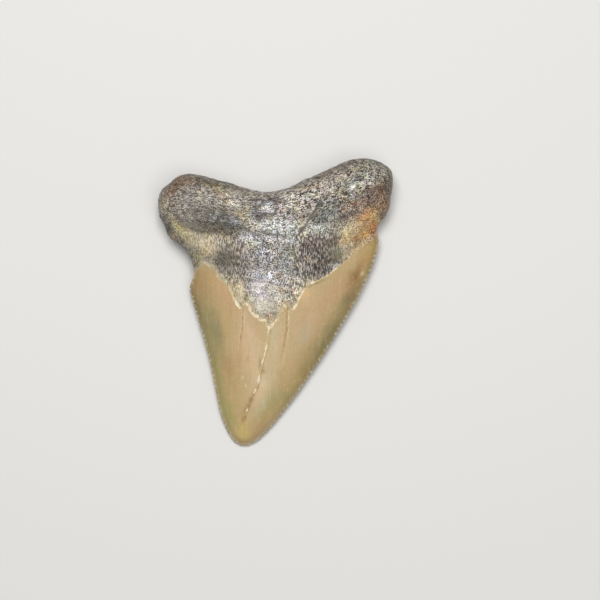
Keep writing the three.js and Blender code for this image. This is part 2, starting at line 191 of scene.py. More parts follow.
ROOT_BASE = srgb(148, 140, 127)
ROOT_STAINS_LIGHT_AND_SHADE = [
    (-12.8, 16.4, 5.0, 2.4, -10, srgb(118, 106, 94), 0.9),  # left lobe
    (-10.8, 14.5, 4.6, 1.0, -10, srgb(98, 88, 76), 0.9),  # its lower half, darker with painted shade
    (-10.4, 12.8, 4.8, 1.3, -9, srgb(82, 78, 70), 1.0),  # shade under it
    (-8.6, 13.0, 1.8, 0.8, -14, srgb(74, 78, 74), 0.9),  # slate streak in the shade
    (-6.2, 12.2, 1.6, 0.8, -14, srgb(98, 98, 98), 0.9),
    (-11.0, 19.4, 6.5, 0.9, -9, srgb(84, 72, 54), 0.9),  # left lobe's upper rim
    (-16.4, 18.5, 1.9, 1.3, 45, srgb(98, 60, 26), 1.0),  # rusty corner of the left lobe
    (-14.4, 19.5, 1.4, 0.6, -4, srgb(118, 88, 58), 0.9),  # rusty rim
    (-10.2, 18.5, 1.9, 0.45, -14, srgb(116, 98, 50), 0.9),  # yellowed streak under the rim
    (-8.6, 18.4, 1.2, 0.5, -14, srgb(104, 88, 44), 0.8),
    (-8.2, 19.1, 2.4, 0.5, -15, srgb(84, 72, 54), 0.9),
    (-13.6, 16.8, 1.8, 1.0, 0, srgb(142, 130, 128), 0.3),  # lilac patch
    (-17.6, 15.7, 0.9, 1.1, 0, srgb(160, 146, 118), 0.9),  # left lobe's end
    (-15.2, 15.0, 1.0, 1.0, 0, srgb(152, 142, 130), 0.8),
    (-14.4, 17.8, 1.0, 0.6, 0, srgb(90, 78, 62), 0.6),
    (-17.0, 13.1, 0.8, 0.7, 0, srgb(178, 164, 132), 0.9),
    (-18.3, 12.9, 0.6, 0.9, 10, srgb(56, 42, 28), 0.7),
    (-15.8, 11.8, 0.8, 0.6, -40, srgb(206, 192, 150), 0.8),
    (-11.4, 16.6, 1.0, 0.8, 0, srgb(178, 173, 154), 0.8),
    (-13.4, 13.6, 0.8, 0.5, 0, srgb(186, 178, 162), 0.9),
    (-8.0, 17.2, 0.9, 0.7, 0, srgb(172, 158, 130), 0.7),  # cream patch
    (-7.0, 15.9, 1.1, 0.5, -30, srgb(210, 196, 176), 0.9),  # rosy cream patch
    (-5.9, 15.4, 0.8, 0.5, -30, srgb(214, 206, 186), 0.7),
    (-7.1, 14.2, 1.5, 0.7, -20, srgb(58, 46, 32), 1.0),  # brown streak under it
    (-5.6, 13.6, 1.8, 0.35, -28, srgb(174, 160, 126), 0.9),  # pale ledge
    (-3.4, 12.2, 1.4, 0.5, -30, srgb(184, 178, 156), 0.7),  # pale ledge, further right
    (-3.6, 17.2, 3.2, 0.8, -6, srgb(152, 140, 122), 0.9),  # over the notch, left
    (2.8, 16.5, 2.4, 1.1, 14, srgb(222, 212, 198), 0.9),  # over the notch, right
    (-0.6, 16.1, 2.4, 0.6, 0, srgb(30, 28, 42), 1.0),  # dark arc over the knob
    (-3.2, 14.8, 0.6, 1.1, 0, srgb(120, 114, 120), 0.8),  # dark arc of painted shadow beside the knob
    (0.7, 15.0, 0.9, 0.9, 0, srgb(176, 160, 170), 0.8),  # lilac patch beside it
    (-5.0, 14.2, 0.8, 0.8, 0, srgb(118, 110, 96), 0.8),
    (-1.4, 14.7, 1.0, 0.75, 0, srgb(220, 222, 224), 0.9),  # knob
    (3.6, 14.4, 1.6, 1.6, 0, srgb(156, 142, 124), 0.8),  # boss, upper right
    (5.0, 15.6, 1.0, 0.6, 30, srgb(196, 188, 172), 0.7),
    (0.8, 12.0, 2.8, 1.1, 0, srgb(216, 218, 214), 1.0),  # pale boss
    (-1.8, 13.7, 1.5, 0.55, 0, srgb(40, 35, 38), 0.9),  # dark arc of painted shadow under the knob
    (2.2, 13.5, 1.1, 0.5, 0, srgb(138, 128, 116), 0.8),
    (4.6, 11.7, 1.3, 0.9, 20, srgb(238, 234, 220), 0.95),
    (-0.2, 10.1, 1.8, 0.6, 0, srgb(246, 240, 236), 1.0),  # pale lumps under the boss
    (2.3, 10.1, 1.2, 0.8, 0, srgb(176, 178, 172), 0.9),
    (-0.9, 9.0, 2.6, 0.5, -10, srgb(104, 102, 88), 0.9),  # grey-green streak
    (-4.0, 10.3, 2.0, 1.1, -20, srgb(212, 210, 208), 0.9),  # pale, under the ledge
    (-7.4, 10.2, 1.4, 1.0, 0, srgb(146, 130, 102), 0.8),
    (-5.6, 8.8, 1.0, 1.0, 0, srgb(182, 168, 156), 0.8),
    (9.0, 19.2, 6.0, 2.0, 26, srgb(142, 131, 113), 0.9),  # right lobe's back
    (11.2, 20.0, 1.4, 1.0, 20, srgb(176, 156, 136), 0.8),  # rosy patch on it
    (5.4, 17.9, 1.8, 1.2, 20, srgb(158, 148, 132), 0.8),
    (16.2, 20.3, 2.4, 1.6, -30, srgb(134, 125, 107), 0.9),  # right lobe's end
    (16.2, 22.3, 2.4, 0.8, -22, srgb(66, 62, 44), 0.9),  # its rim, darkened with painted shade
    (10.2, 21.5, 4.6, 0.9, 22, srgb(76, 58, 38), 0.9),  # right lobe's upper rim
    (17.9, 18.4, 0.7, 2.2, 0, srgb(66, 52, 30), 0.9),
    (12.6, 19.5, 2.0, 0.8, 40, srgb(24, 32, 18), 1.0),  # dark green shade over the chip
    (12.6, 20.8, 1.6, 0.7, 30, srgb(98, 90, 72), 0.85),
    # painted shade on the upper rim
    (3.7, 18.9, 1.2, 0.5, 16, srgb(100, 92, 80), 0.7),
    (8.8, 20.5, 1.2, 0.5, 22, srgb(164, 152, 132), 0.7),
    (10.7, 17.8, 1.0, 0.5, 20, srgb(62, 70, 42), 1.0),  # green tinge left of it
    # painted shade towards the right lobe's upper rim
    (10.8, 19.0, 1.2, 0.6, 24, srgb(96, 90, 70), 0.9),
    (14.4, 20.2, 0.6, 0.5, 0, srgb(186, 192, 174), 0.6),  # pale spot
    (14.2, 18.2, 1.0, 0.6, 24, srgb(176, 164, 144), 0.7),
    (12.3, 18.5, 0.8, 0.3, 34, srgb(255, 255, 236), 1.0),  # greenish white chip
    (11.9, 18.2, 0.4, 0.4, 20, srgb(255, 255, 240), 1.0),
    (16.4, 17.8, 1.7, 1.0, 24, srgb(108, 76, 48), 1.0),  # dark brown, right lobe
    (17.2, 15.4, 0.9, 2.0, 8, srgb(126, 84, 20), 0.9),  # brown rim above the notch
    (11.5, 16.4, 1.3, 0.6, 24, srgb(224, 214, 198), 0.9),  # painted light on the roll's shaded lower side
    (7.2, 16.1, 1.0, 0.7, 50, srgb(20, 16, 12), 1.0),  # dark head of the furrow, painted shade
    (9.6, 15.8, 2.4, 0.4, 12, srgb(104, 94, 84), 0.9),  # shade line beside it
    (8.0, 14.0, 1.7, 1.3, 20, srgb(126, 130, 124), 1.0),  # slate, right of the furrow
    (11.2, 14.9, 1.4, 0.7, 24, srgb(146, 124, 100), 0.9),
    (12.9, 15.5, 1.0, 0.6, 24, srgb(162, 110, 60), 0.8),
    (11.1, 13.5, 2.6, 0.7, 24, srgb(46, 20, 8), 1.0),  # dark red-brown line
    (6.6, 11.7, 2.2, 0.9, 10, srgb(184, 184, 170), 0.9),  # pale, right of the boss
    (14.6, 13.8, 2.3, 1.3, 40, srgb(200, 146, 86), 1.0),  # orange
    (14.9, 16.0, 2.1, 0.9, 24, srgb(92, 50, 0), 1.0),  # brown above it
    (14.4, 11.2, 1.6, 1.2, 30, srgb(204, 158, 90), 1.0),  # orange by the margin
    (15.8, 12.0, 0.8, 1.4, 10, srgb(206, 126, 50), 1.0),  # deep orange at the notch
    (15.8, 13.5, 0.7, 0.9, 20, srgb(214, 182, 110), 1.0),  # greenish yellow streak
    (11.2, 11.8, 1.3, 0.9, 20, srgb(210, 196, 154), 1.0),  # cream-green cheek
    (11.2, 9.9, 1.6, 1.0, 36, srgb(208, 180, 130), 1.0),  # tan cheek
    (12.9, 9.9, 0.8, 0.6, 30, srgb(150, 98, 46), 0.9),  # rust spot by the margin
    (12.8, 8.6, 2.8, 0.6, 35, srgb(184, 156, 104), 0.9),  # tan, along the margin
    (9.9, 7.6, 1.1, 1.2, 20, srgb(124, 124, 96), 0.9),  # grey-green, along the margin
    (9.1, 9.7, 0.8, 0.9, 0, srgb(102, 86, 62), 0.9),
    (12.8, 12.0, 0.9, 0.7, 30, srgb(230, 198, 150), 0.7),
    (8.1, 12.5, 0.9, 0.6, 10, srgb(116, 112, 102), 0.7),
    (7.8, 8.7, 0.9, 0.9, 0, srgb(72, 62, 48), 0.7),
    (-17.0, 11.2, 2.3, 0.9, -55, srgb(24, 18, 8), 1.0),  # heel, darkened with painted shade
    (-15.4, 12.1, 1.1, 0.6, -30, srgb(196, 180, 120), 1.0),  # yellow spot
    (-13.8, 10.6, 1.5, 0.9, -45, srgb(176, 166, 124), 1.0),  # green-grey neck, upper
    (-16.2, 10.5, 0.7, 0.4, -45, srgb(170, 140, 108), 0.9),  # peach spot on the heel
    (-11.0, 9.1, 2.3, 1.9, -50, srgb(200, 184, 150), 1.0),  # cream neck
    (-9.0, 11.4, 2.2, 0.4, -9, srgb(96, 84, 62), 0.9),  # shade line over it
    (-12.4, 7.2, 0.7, 1.2, 0, srgb(140, 132, 92), 0.9),  # green shade by the rim
    (-7.4, 6.9, 2.3, 2.3, -30, srgb(92, 82, 66), 1.0),  # left dark patch
    (-8.9, 6.4, 0.9, 0.7, -40, srgb(86, 84, 74), 0.9),
    (-5.2, 5.6, 0.9, 2.2, 10, srgb(124, 112, 104), 0.8),
    (-1.9, 7.8, 1.4, 0.7, 0, srgb(190, 188, 196), 0.9),  # pale, under the boss
    (2.5, 6.4, 0.4, 1.2, -8, srgb(208, 204, 192), 0.8),  # white streak beside the dark patch
    (2.2, 8.2, 1.0, 0.7, 0, srgb(124, 122, 112), 0.9),
    (1.3, 5.9, 1.3, 1.9, 0, srgb(124, 128, 124), 0.9),
    (-2.2, 5.9, 2.6, 1.6, 0, srgb(128, 124, 126), 0.9),  # ridge
    (-0.9, 4.2, 0.8, 0.7, 0, srgb(232, 228, 232), 0.9),  # white patch, upper
    (-2.6, 2.0, 1.3, 1.7, 10, srgb(242, 234, 234), 1.0),  # white patch on the ridge
    (-3.8, 1.0, 0.6, 0.8, 0, srgb(236, 226, 212), 0.8),
    (-1.6, 0.7, 0.9, 0.6, 0, srgb(240, 232, 222), 0.8),
    (-3.0, 4.3, 1.0, 0.7, 0, srgb(206, 202, 204), 0.8),
    (0.3, 2.0, 0.9, 1.6, 0, srgb(210, 206, 194), 0.8),
    (1.7, 3.6, 0.9, 1.6, 0, srgb(198, 190, 182), 0.8),
    (3.3, 2.1, 0.7, 1.2, 0, srgb(228, 212, 184), 0.9),  # cream, right of the ridge
    (4.8, 3.9, 1.0, 0.8, 30, srgb(158, 150, 126), 0.9),
    (6.2, 4.5, 1.0, 0.5, 30, srgb(96, 84, 62), 0.8),
    (-2.4, -0.5, 1.5, 1.1, 0, srgb(232, 222, 204), 1.0),  # foot of the V
    (-0.9, -0.4, 0.7, 0.8, 0, srgb(198, 188, 168), 0.8),
    (0.7, -0.2, 0.9, 1.2, 0, srgb(228, 214, 190), 0.9),
    (2.0, 0.5, 0.8, 0.7, 0, srgb(236, 222, 194), 0.8),
    (-0.8, -2.2, 0.6, 0.8, 20, srgb(206, 172, 136), 0.8),  # rust in the V's point
    (1.9, -0.3, 0.4, 0.4, 0, srgb(170, 116, 88), 0.9),  # reddish spot by the right crack
    (-5.6, 1.6, 0.9, 2.0, 8, srgb(222, 208, 170), 1.0),  # cream, left of the ridge
    (-4.9, 0.9, 0.2, 0.9, 0, srgb(96, 86, 64), 0.8),  # dark streak right of that
    (5.8, 8.9, 2.5, 1.4, 8, srgb(62, 26, 0), 1.0),  # right dark patch, upper
    (7.2, 6.5, 2.5, 1.9, 30, srgb(50, 32, 16), 1.0),  # right dark patch, lower
    (4.6, 5.9, 0.6, 0.9, 0, srgb(100, 88, 80), 0.7),
    (2.2, 5.0, 0.7, 0.8, 0, srgb(112, 108, 102), 0.8),
    (3.8, 4.4, 0.8, 1.2, 0, srgb(186, 180, 168), 0.7),
]
UNDER_STAINS = [
    (-13.0, 16.0, 5.0, 3.0, -10, srgb(136, 124, 106), 0.8),
    (12.0, 18.0, 6.0, 3.0, 25, srgb(150, 138, 118), 0.8),
    (-1.0, 12.0, 6.0, 3.4, 0, srgb(120, 111, 100), 0.9),
    (-9.0, 9.0, 4.0, 2.0, 10, srgb(176, 162, 130), 0.9),
    (9.5, 12.0, 4.6, 1.8, 25, srgb(172, 150, 116), 0.9),
    (16.2, 12.9, 1.3, 2.0, 20, srgb(186, 110, 48), 0.9),
]

# How strong the root's grain is, at most and in furrows darkened with dirt and painted shade, and
# where it is stronger or, below 0, fainter: x, y, half length, half width, angle and the difference

GRAIN = 0.8
GRAIN_LIMIT = 1.4
GRAIN_LOST_IN_DARK_FURROWS = 0.55
GRAIN_PLACES = [
    (-12.4, 9.4, 4.2, 2.6, -50, -0.5),  # left neck
    (-8.0, 7.0, 2.6, 2.6, 0, -0.25),  # left dark patch
    (12.0, 10.6, 4.0, 1.8, 35, -0.3),  # right cheek
    (14.6, 13.6, 2.4, 2.2, 0, -0.1),  # orange cheek
    (-2.8, 2.4, 1.2, 1.8, 10, -0.35),  # white patch
    (-1.8, -0.8, 2.6, 1.8, 0, -0.45),  # foot of the V
    (-5.7, 1.4, 0.9, 2.0, 8, -0.6),
    (-1.4, 14.8, 0.8, 0.6, 0, -0.4),  # knob
    (12.2, 18.5, 1.1, 0.7, 34, -0.9),  # chip
    (9.6, 7.4, 1.4, 1.4, 0, -0.3),
    (13.0, 8.8, 3.0, 0.8, 35, -0.3),  # along the right margin
    (10.6, 18.6, 7.0, 3.0, 26, 0.5),  # right lobe
    (14.6, 16.4, 2.6, 1.2, 24, 0.2),  # brown above the orange
    (6.6, 7.4, 2.6, 2.8, 30, 0.3),  # right dark patch
    (0.4, 14.8, 4.6, 2.2, 0, 0.2),  # round the knob
    (-0.8, 7.6, 2.8, 3.4, 0, 0.2),  # middle of the neck
]

# Painted shade along the root's rim, in a band that starts and is full at these distances from it,
# and dirt with painted shade in its furrows

RIM_SHADE = srgb(62, 52, 38)
RIM_SHADE_SHARE = 0.28
RIM_SHADE_BAND = (1.8 * MM, 0.2 * MM)
FURROW_DIRT_AND_SHADE = srgb(52, 46, 40)
FURROW_DIRT_AND_SHADE_SHARE = 0.8

# Furrows of the lingual root: points, half width and depth in millimetres. Dirt and painted shade
# darken them, and most so from DARK_FURROW down

DARK_FURROW = 0.3
FURROWS = [
    ([(6.9, 15.8), (6.6, 15.0), (5.9, 14.1), (5.2, 13.3)], 0.36, 0.36),
    ([(5.2, 13.2), (4.5, 12.3), (3.7, 11.3)], 0.28, 0.28),
    ([(-2.0, 11.3), (-1.2, 10.9), (-0.4, 10.8), (0.4, 11.0), (1.2, 10.7)], 0.2, 0.2),
    ([(-8.0, 12.6), (-5.6, 12.3), (-4.0, 11.5), (-2.4, 10.6), (-1.0, 9.6)], 0.18, 0.08),
    ([(9.2, 15.7), (10.4, 16.1), (11.8, 16.8), (13.6, 17.3)], 0.18, 0.06),
    ([(-15.6, 12.7), (-13.4, 11.9), (-10.8, 11.4), (-9.0, 11.0)], 0.2, 0.14),
    ([(-4.4, 1.6), (-3.0, 1.4), (-1.6, 1.9), (-1.0, 2.4)], 0.14, 0.1),
    ([(-2.8, 15.2), (-2.7, 14.1), (-1.9, 13.4), (-0.7, 13.4), (0.0, 14.2)], 0.3, 0.16),
]

# The enamel's stains, in the same form. The olive bands inside its edges are partly painted shade
CROWN_BASE = srgb(191, 164, 114)
CROWN_STAINS_AND_SHADE = [
    (-12.6, 5.0, 1.4, 0.8, 0, srgb(191, 160, 114), 0.9),
    (-11.9, 2.4, 1.6, 2.2, 0, srgb(180, 142, 98), 0.9),  # reddish tan, left shoulder
    (-13.5, 0.9, 3.4, 0.8, -78, srgb(98, 84, 42), 0.95),  # its rim
    (-12.3, -2.0, 1.8, 0.6, -76, srgb(92, 80, 42), 0.8),
    (16.0, 9.8, 0.6, 1.4, 10, srgb(146, 106, 56), 0.7),  # tan right corner
    (-8.0, 1.0, 3.4, 1.0, -60, srgb(200, 162, 122), 0.8),  # rosy strip under the left margin
    (-11.0, -3.6, 6.0, 1.7, -75, srgb(146, 135, 90), 0.9),  # olive, inside the left edge, partly painted shade
    (-9.5, -4.4, 3.2, 0.9, -80, srgb(142, 138, 100), 0.8),  # greener stretch of it
    (-9.6, -10.0, 5.0, 0.9, -78, srgb(158, 148, 94), 0.8),
    (-8.6, -15.6, 4.6, 0.9, -77, srgb(170, 160, 102), 0.9),  # olive, lower left, partly painted shade
    (-4.2, -6.2, 6.4, 2.1, -84, srgb(207, 179, 141), 1.0),  # rosy beige, middle
    (-4.4, -5.2, 2.6, 0.6, -86, srgb(214, 186, 150), 0.6),  # its palest streak
    (-7.6, -10.4, 2.2, 0.9, -80, srgb(176, 142, 96), 0.7),  # warm brown, left of the middle
    (-5.9, -9.2, 1.8, 0.5, 88, srgb(188, 150, 106), 0.6),
    (-3.2, -12.0, 4.0, 1.6, -75, srgb(204, 176, 130), 0.9),  # beige, lower middle
    (-2.4, -12.6, 1.2, 0.7, -75, srgb(212, 188, 152), 0.7),
    (-7.3, -18.0, 1.8, 0.6, -75, srgb(164, 160, 96), 0.8),  # green, by the tip
    (-0.5, -5.4, 2.4, 0.8, -84, srgb(188, 176, 134), 0.8),  # greenish, by the main crack
    (5.4, -2.8, 4.4, 2.4, 60, srgb(200, 166, 124), 0.9),  # tan, right
    (4.6, 1.2, 1.0, 1.2, 30, srgb(224, 182, 126), 0.8),  # peach, under the right margin
    (9.6, 2.0, 3.2, 1.4, 50, srgb(196, 160, 120), 0.8),
    (11.4, 6.0, 3.0, 1.9, 40, srgb(190, 164, 116), 0.9),  # right shoulder
    (14.9, 8.4, 1.8, 1.0, 80, srgb(178, 156, 96), 0.9),  # greenish shoulder corner
    (14.4, 9.6, 1.8, 0.6, 35, srgb(172, 134, 80), 0.8),  # tan, under the margin
    (14.4, 6.6, 2.0, 0.8, 68, srgb(182, 142, 90), 0.8),  # reddish brown, right shoulder
    (15.8, 6.4, 3.2, 0.7, 68, srgb(150, 124, 76), 0.8),  # its rim
    (8.4, -5.6, 7.2, 1.6, 57, srgb(130, 121, 76), 0.9),  # olive, inside the right edge, partly painted shade
    (4.5, -11.0, 1.8, 0.8, 60, srgb(160, 134, 80), 0.7),  # browner stretch of it
    (2.0, -15.0, 2.2, 0.8, 56, srgb(158, 148, 92), 0.8),
    (4.6, -5.0, 2.8, 0.9, 62, srgb(188, 172, 136), 0.8),  # greyer beige beside it
    (12.0, 1.2, 2.6, 1.0, 62, srgb(124, 110, 70), 0.9),
    (12.6, 4.1, 2.1, 0.9, 62, srgb(138, 104, 48), 0.9),  # dark brown streak
    (10.4, 2.8, 1.8, 0.5, 62, srgb(192, 152, 114), 0.4),
    (14.0, 4.7, 0.4, 0.3, 55, srgb(224, 206, 156), 0.9),  # pale nick by the right edge
    (-0.2, -15.6, 4.0, 1.2, 54, srgb(172, 156, 100), 0.8),  # olive, lower right, partly painted shade
    (-0.9, -12.0, 3.4, 0.9, -70, srgb(187, 170, 126), 0.6),
    (-2.1, -16.4, 2.0, 0.7, 62, srgb(188, 178, 134), 0.8),  # greenish grey beside the crack
    (-5.3, -20.8, 2.0, 1.0, 90, srgb(206, 182, 112), 0.9),  # yellow tip
    (-2.7, -19.9, 1.3, 0.5, 55, srgb(182, 142, 96), 0.7),
    (-5.6, -22.6, 1.6, 0.5, 0, srgb(184, 152, 84), 0.7),
]

# Marks of the lingual enamel alone, in the same form as the stains

LINGUAL_MARKS = [
    (-2.5, -9.4, 0.9, 0.22, 82, srgb(146, 126, 84), 0.9),  # olive lines beside the crack
    (-2.0, -10.9, 0.5, 0.2, 86, srgb(154, 132, 80), 0.8),
    (-4.1, -15.8, 0.9, 0.3, 60, srgb(150, 108, 66), 0.8),  # brown, along the crack's tail
    (-4.8, -17.4, 1.0, 0.22, 72, srgb(158, 118, 72), 0.8),
    (-5.2, -18.8, 0.6, 0.3, 56, srgb(162, 124, 74), 0.8),
    (-5.3, -12.1, 0.2, 0.25, 0, srgb(236, 212, 168), 0.9),  # pale dots
    (-4.9, -13.2, 0.16, 0.16, 0, srgb(236, 212, 168), 0.8),
    (-4.6, -9.0, 0.4, 0.15, 80, srgb(172, 136, 92), 0.6),
    (6.4, 3.0, 1.9, 0.2, 24, srgb(128, 116, 74), 0.8),  # shade under the margin's chips
]

# Pale breaks along the main crack: x, y, half length, half width, angle and strength

CRACK_CHIPS = [
    (-1.1, -4.9, 0.6, 0.9, 0, 0.4),
    (-1.5, -7.2, 0.6, 0.6, 0, 1.2),
    (-1.8, -8.4, 0.6, 0.35, 0, 0.8),
    (-2.1, -9.5, 0.6, 0.6, 0, 0.8),
    (-2.7, -12.2, 0.6, 0.7, 0, 1.2),
    (-3.3, -14.1, 0.6, 0.4, 0, 1.1),
    (-4.3, -17.3, 0.6, 0.3, 0, 1.2),
]

# Cream chips of broken enamel on the lingual margin, in the same form

BROKEN_EDGE = [
    (-6.7, 1.2, 0.4, 1.2, 10, 0.7),  # left edge of the V
    (-6.0, -0.5, 0.8, 0.4, -45, 1.0),
    (-4.7, -0.2, 0.7, 0.5, 0, 0.9),  # yellowed tongue
    (-4.0, -1.2, 0.6, 0.5, -70, 1.0),
    (-3.1, -2.2, 0.8, 0.6, -40, 1.5),
    (-2.1, -2.7, 0.9, 0.5, -16, 1.6),  # white chip
    (-0.9, -3.8, 0.7, 0.6, 40, 1.5),  # point of the V
    (0.2, -2.7, 0.6, 0.4, 45, 0.8),
    (1.3, -0.8, 0.4, 0.8, -10, 1.2),  # white tip by the right crack
    (3.1, -0.6, 0.6, 0.5, 40, 0.9),
    (3.9, 1.1, 1.2, 0.4, 62, 0.9),  # right edge of the V
    (6.0, 3.3, 0.5, 0.4, 0, 1.3),
    (8.0, 4.3, 1.4, 0.6, 30, 0.5),
    (9.6, 5.4, 0.6, 0.5, 35, 0.6),
    (-9.0, 4.0, 0.5, 0.4, 0, 0.9),
]

# Where no remains of enamel are left on the root beside the margin, without a strength

BARE_MARGIN = [(6.8, 4.6, 3.2, 1.2, 30), (11.0, 7.2, 3.4, 1.1, 32), (15.0, 10.4, 2.4, 0.9, 34)]

# The fine mesh: rings of vertices from the middle of each face out to the rim

CENTRE = in_metres((-1.5, 3.2))
STEPS_PER_SERRATION = 6
ROOT_STEP = 0.25 * MM
LINGUAL_RINGS = 84
LABIAL_RINGS = 42
RING_COUNT = LINGUAL_RINGS + LABIAL_RINGS
RING_CROWDING = 1.45
CURVE_STEPS = 24
EDGE_STEPS = 80
DISTANCE_STEPS = 400
SHOULDER_SHARE = 0.9
BEYOND = 40 * MM
NO_WIDTH = 1e-6
SEAM_GAP = 1e-5

# Serrations: over what share of the worn tip they fade, how unevenly they are worn, in waves of
# so many millimetres, how far a nick reaches in from the edge, and the groove that it leaves on
# the lingual face

TIP_FADE = 0.2
UNEVEN_WAVE = 3.1
UNEVEN_SEED = 4.2
NICK_DEPTH = 0.85
NICK_VARIETY = 0.5
NICK_LIMITS = (0.35, 1.15)
NICK_REACH = 0.3 * MM
NICK_GROOVE = 0.07 * MM
NICK_GROOVE_REACH = 0.5 * MM

# Noises of the form: waves per millimetre, octaves and seed. An octave is OCTAVE_STEP times
# finer than the last, and weaker by that to the power of OCTAVE_DROP. Each seed reads its noise
# from another place

OCTAVE_STEP = 2.0
OCTAVE_DROP = 1.0
MARGIN_NOISE = (1.3, 3, 3)
LUMP_NOISE = (0.42, 3, 1)
FINE_LUMP_NOISE = (1.5, 3, 2)
ROLL_NOISE = (2.6, 2, 5)
NECK_NOISE = (2.6, 2, 6)
WANDER_NOISES = [(0.7, 3, 8), (0.7, 3, 9)]
SEED_SHIFT = (7.3, 3.1, 5.7)

# The enamel's margin: how ragged it is and how wide its step is, sharp, worn and on the labial
# face. Worn stretches run from the x where the wear starts to the x where it is full, and have
# a share. Round the rim the lingual margin goes over into the labial one

MARGIN_RAGGEDNESS = 0.16 * MM
SHARP_STEP = 0.09 * MM
WORN_STEP = 0.8 * MM
LABIAL_STEP = 0.5 * MM
WORN_STRETCHES = [(-6.6, -8.6, 1.0), (4.6, 6.4, 0.5), (8.4, 10.4, 0.4)]
ROUND_THE_RIM = 0.6 * MM

# The enamel thins towards the cutting edges, and the root's rim is set back beside it

THIN_ENAMEL = 0.25
THIN_ENAMEL_REACH = 1.1 * MM
SET_BACK_REACH = 1.0 * MM

# Grooves of the cracks: share of the crack depth, half width in millimetres, and the share of
# the length from which they run out

MAIN_GROOVE = (0.5, 0.2, 0.85)
FINE_GROOVE = (0.35, 0.14, 0.8)

# The root's relief: the share of the finer lumps, how fibres stretch the noise along x, y and
# z, how wide the change from the neck's to the roll's is, and the labial face's share

FINE_LUMPS = 0.45
FIBRES_ALONG_ROLL = (0.28, 1.0, 0.5)
FIBRES_DOWN_NECK = (1.0, 0.28, 0.5)
ROLL_BLEND = 1.2 * MM
LABIAL_RELIEF = 0.7

# Pits lie in some of the cells of a cell noise: cells per millimetre, seed, radius as a share
# of a cell, and the noise over the cells that picks them

PIT_CELLS = 0.85
PIT_SEED = 4
PIT_RADIUS = 0.42
PIT_SPREAD = 9.7
PIT_LIMIT = 0.05

# How far the edges of stains, marks and furrows wander, and how far the labial colours reach in
# under the rim before they are full

STAIN_WANDER = 0.45 * MM
MARK_WANDER = 0.3 * MM
UNDER_BLEND = 2 * MM

# Where fibres run down the neck: out from its middle, and left of and below these limits, each
# given as the place where they start and the place where they are full

NECK_MIDDLE = -1 * MM
FIBRES_OUT_FROM = (2.4 * MM, 5 * MM)
FIBRES_LEFT_OF = (13 * MM, 8 * MM)
FIBRES_BELOW = (13 * MM, 9.5 * MM)
ROLL_FIBRES = 0.5

# The labial margin is a little broken all along

LABIAL_CHIPS = 0.2

# Noise patterns of the finish: waves per millimetre along x, y and z, detail and roughness

PATTERNS = {
    "roll fibres": ((1.7, 5.8, 3.8), 1.0, 0.6),
    "neck fibres": ((5.4, 1.6, 3.5), 1.0, 0.6),
    "grains": (even(5.4), 1.0, 0.7),
    "clumps": (even(1.2), 2.0, 0.6),
    "warm clouds": (even(0.7), 2.0, 0.6),
    "cool clouds": ((-0.8, 0.8, 0.8), 2.0, 0.6),
    "remains": (even(1.6), 3.0, 0.7),
    "ragged": (even(2.4), 2.0, 0.6),
    "streaks": ((1.6, 0.09, 1.0), 3.0, 0.6),
    "clouds": (even(0.28), 3.0, 0.5),
    "mottle": (even(1.9), 2.0, 0.6),
    "hairs": ((4.2, 0.22, 1.0), 2.0, 0.6),
    "fine": (even(4.6), 1.0, 0.5),
    "bends": (even(1.3), 3.0, 0.7),
    "jags": (even(4.4), 1.0, 0.5),
    "breaks": (even(1.1), 2.0, 0.6),
    "blotches": (even(2.6), 1.0, 0.5),
    "dots": (even(3.2), 1.0, 0.5),
    "crumbs": (even(1.8), 2.0, 0.5),
}

# Clouds on the root: pattern, where they start and are full in it, strength, and factors of
# the root's red, green and blue

ROOT_CLOUDS = [
    ("warm clouds", 0.1, 1.0, 0.6, (1.2, 1.12, 0.75)),  # olive
    ("warm clouds", -0.1, -1.1, 0.5, (1.0, 0.92, 1.1)),  # purple
    ("cool clouds", 0.2, 1.1, 0.6, (1.1, 0.85, 0.6)),  # rust
    ("cool clouds", -0.2, -1.1, 0.6, (1.15, 1.3, 1.3)),  # pale
]

# The root's grain: the shares of its parts, its added contrast where it is strong, and where
# in it each tone starts and is full. Pale grains and the glints, which are painted highlights,
# are the root's own colour times these factors of red, green and blue

FIBRE_SHARE = 0.25
GRAIN_SHARE = 1.15
GRAIN_LOST_IN_FIBRES = 0.6
CLUMP_SHARE = 0.42
MORE_CONTRAST = 0.8
CONTRAST_RANGE = 0.6
DUST_SHARE = 0.16
PALE_GRAINS = (0.1, 0.7)
PALE_FACTORS = (1.9, 1.98, 2.2)
GLINTS = (0.7, 1.3)
GLINT_FACTORS = (2.6, 2.75, 3.1)
GLINT_TINT = 0.72
GLINT_SHARE = 0.7
GLINTS_IN_GRAIN = (0.45, 0.9)
DARK_GRAINS = (0.0, -0.7)
ROOT_ROUGHNESS = 0.5
POLISHED_GRAINS = (0.2, 1.2)
POLISH = 0.2
GRAIN_HEIGHT = 0.35

# Tints of the enamel: pattern, where they start and are full in it, strength and colour. The
# olive band, painted highlight and painted shade of the edge go on between the broad ones and the
# thin ones

BROAD_TINTS = [
    ("streaks", 0.0, 1.6, 0.16, srgb(216, 190, 152)),
    ("streaks", 0.0, -1.6, 0.18, srgb(160, 128, 86)),
    ("clouds", 0.1, 1.4, 0.2, srgb(208, 162, 118)),
    ("clouds", -0.1, -1.4, 0.25, srgb(160, 152, 110)),
    ("mottle", 0.3, 1.6, 0.18, srgb(226, 206, 168)),
    ("mottle", -0.3, -1.6, 0.12, srgb(150, 124, 84)),
]
THIN_TINTS = [
    ("hairs", 0.5, 1.7, 0.22, srgb(232, 208, 168)),
    ("hairs", -0.5, -1.7, 0.26, srgb(150, 112, 70)),
    ("fine", 0.3, 1.6, 0.14, srgb(236, 214, 176)),
    ("fine", -0.3, -1.6, 0.12, srgb(140, 112, 74)),
]
ENAMEL_ROUGHNESS = 0.36
MOTTLED_ROUGHNESS = 0.02
STREAK_HEIGHT = 0.1
MOTTLE_HEIGHT = 0.05
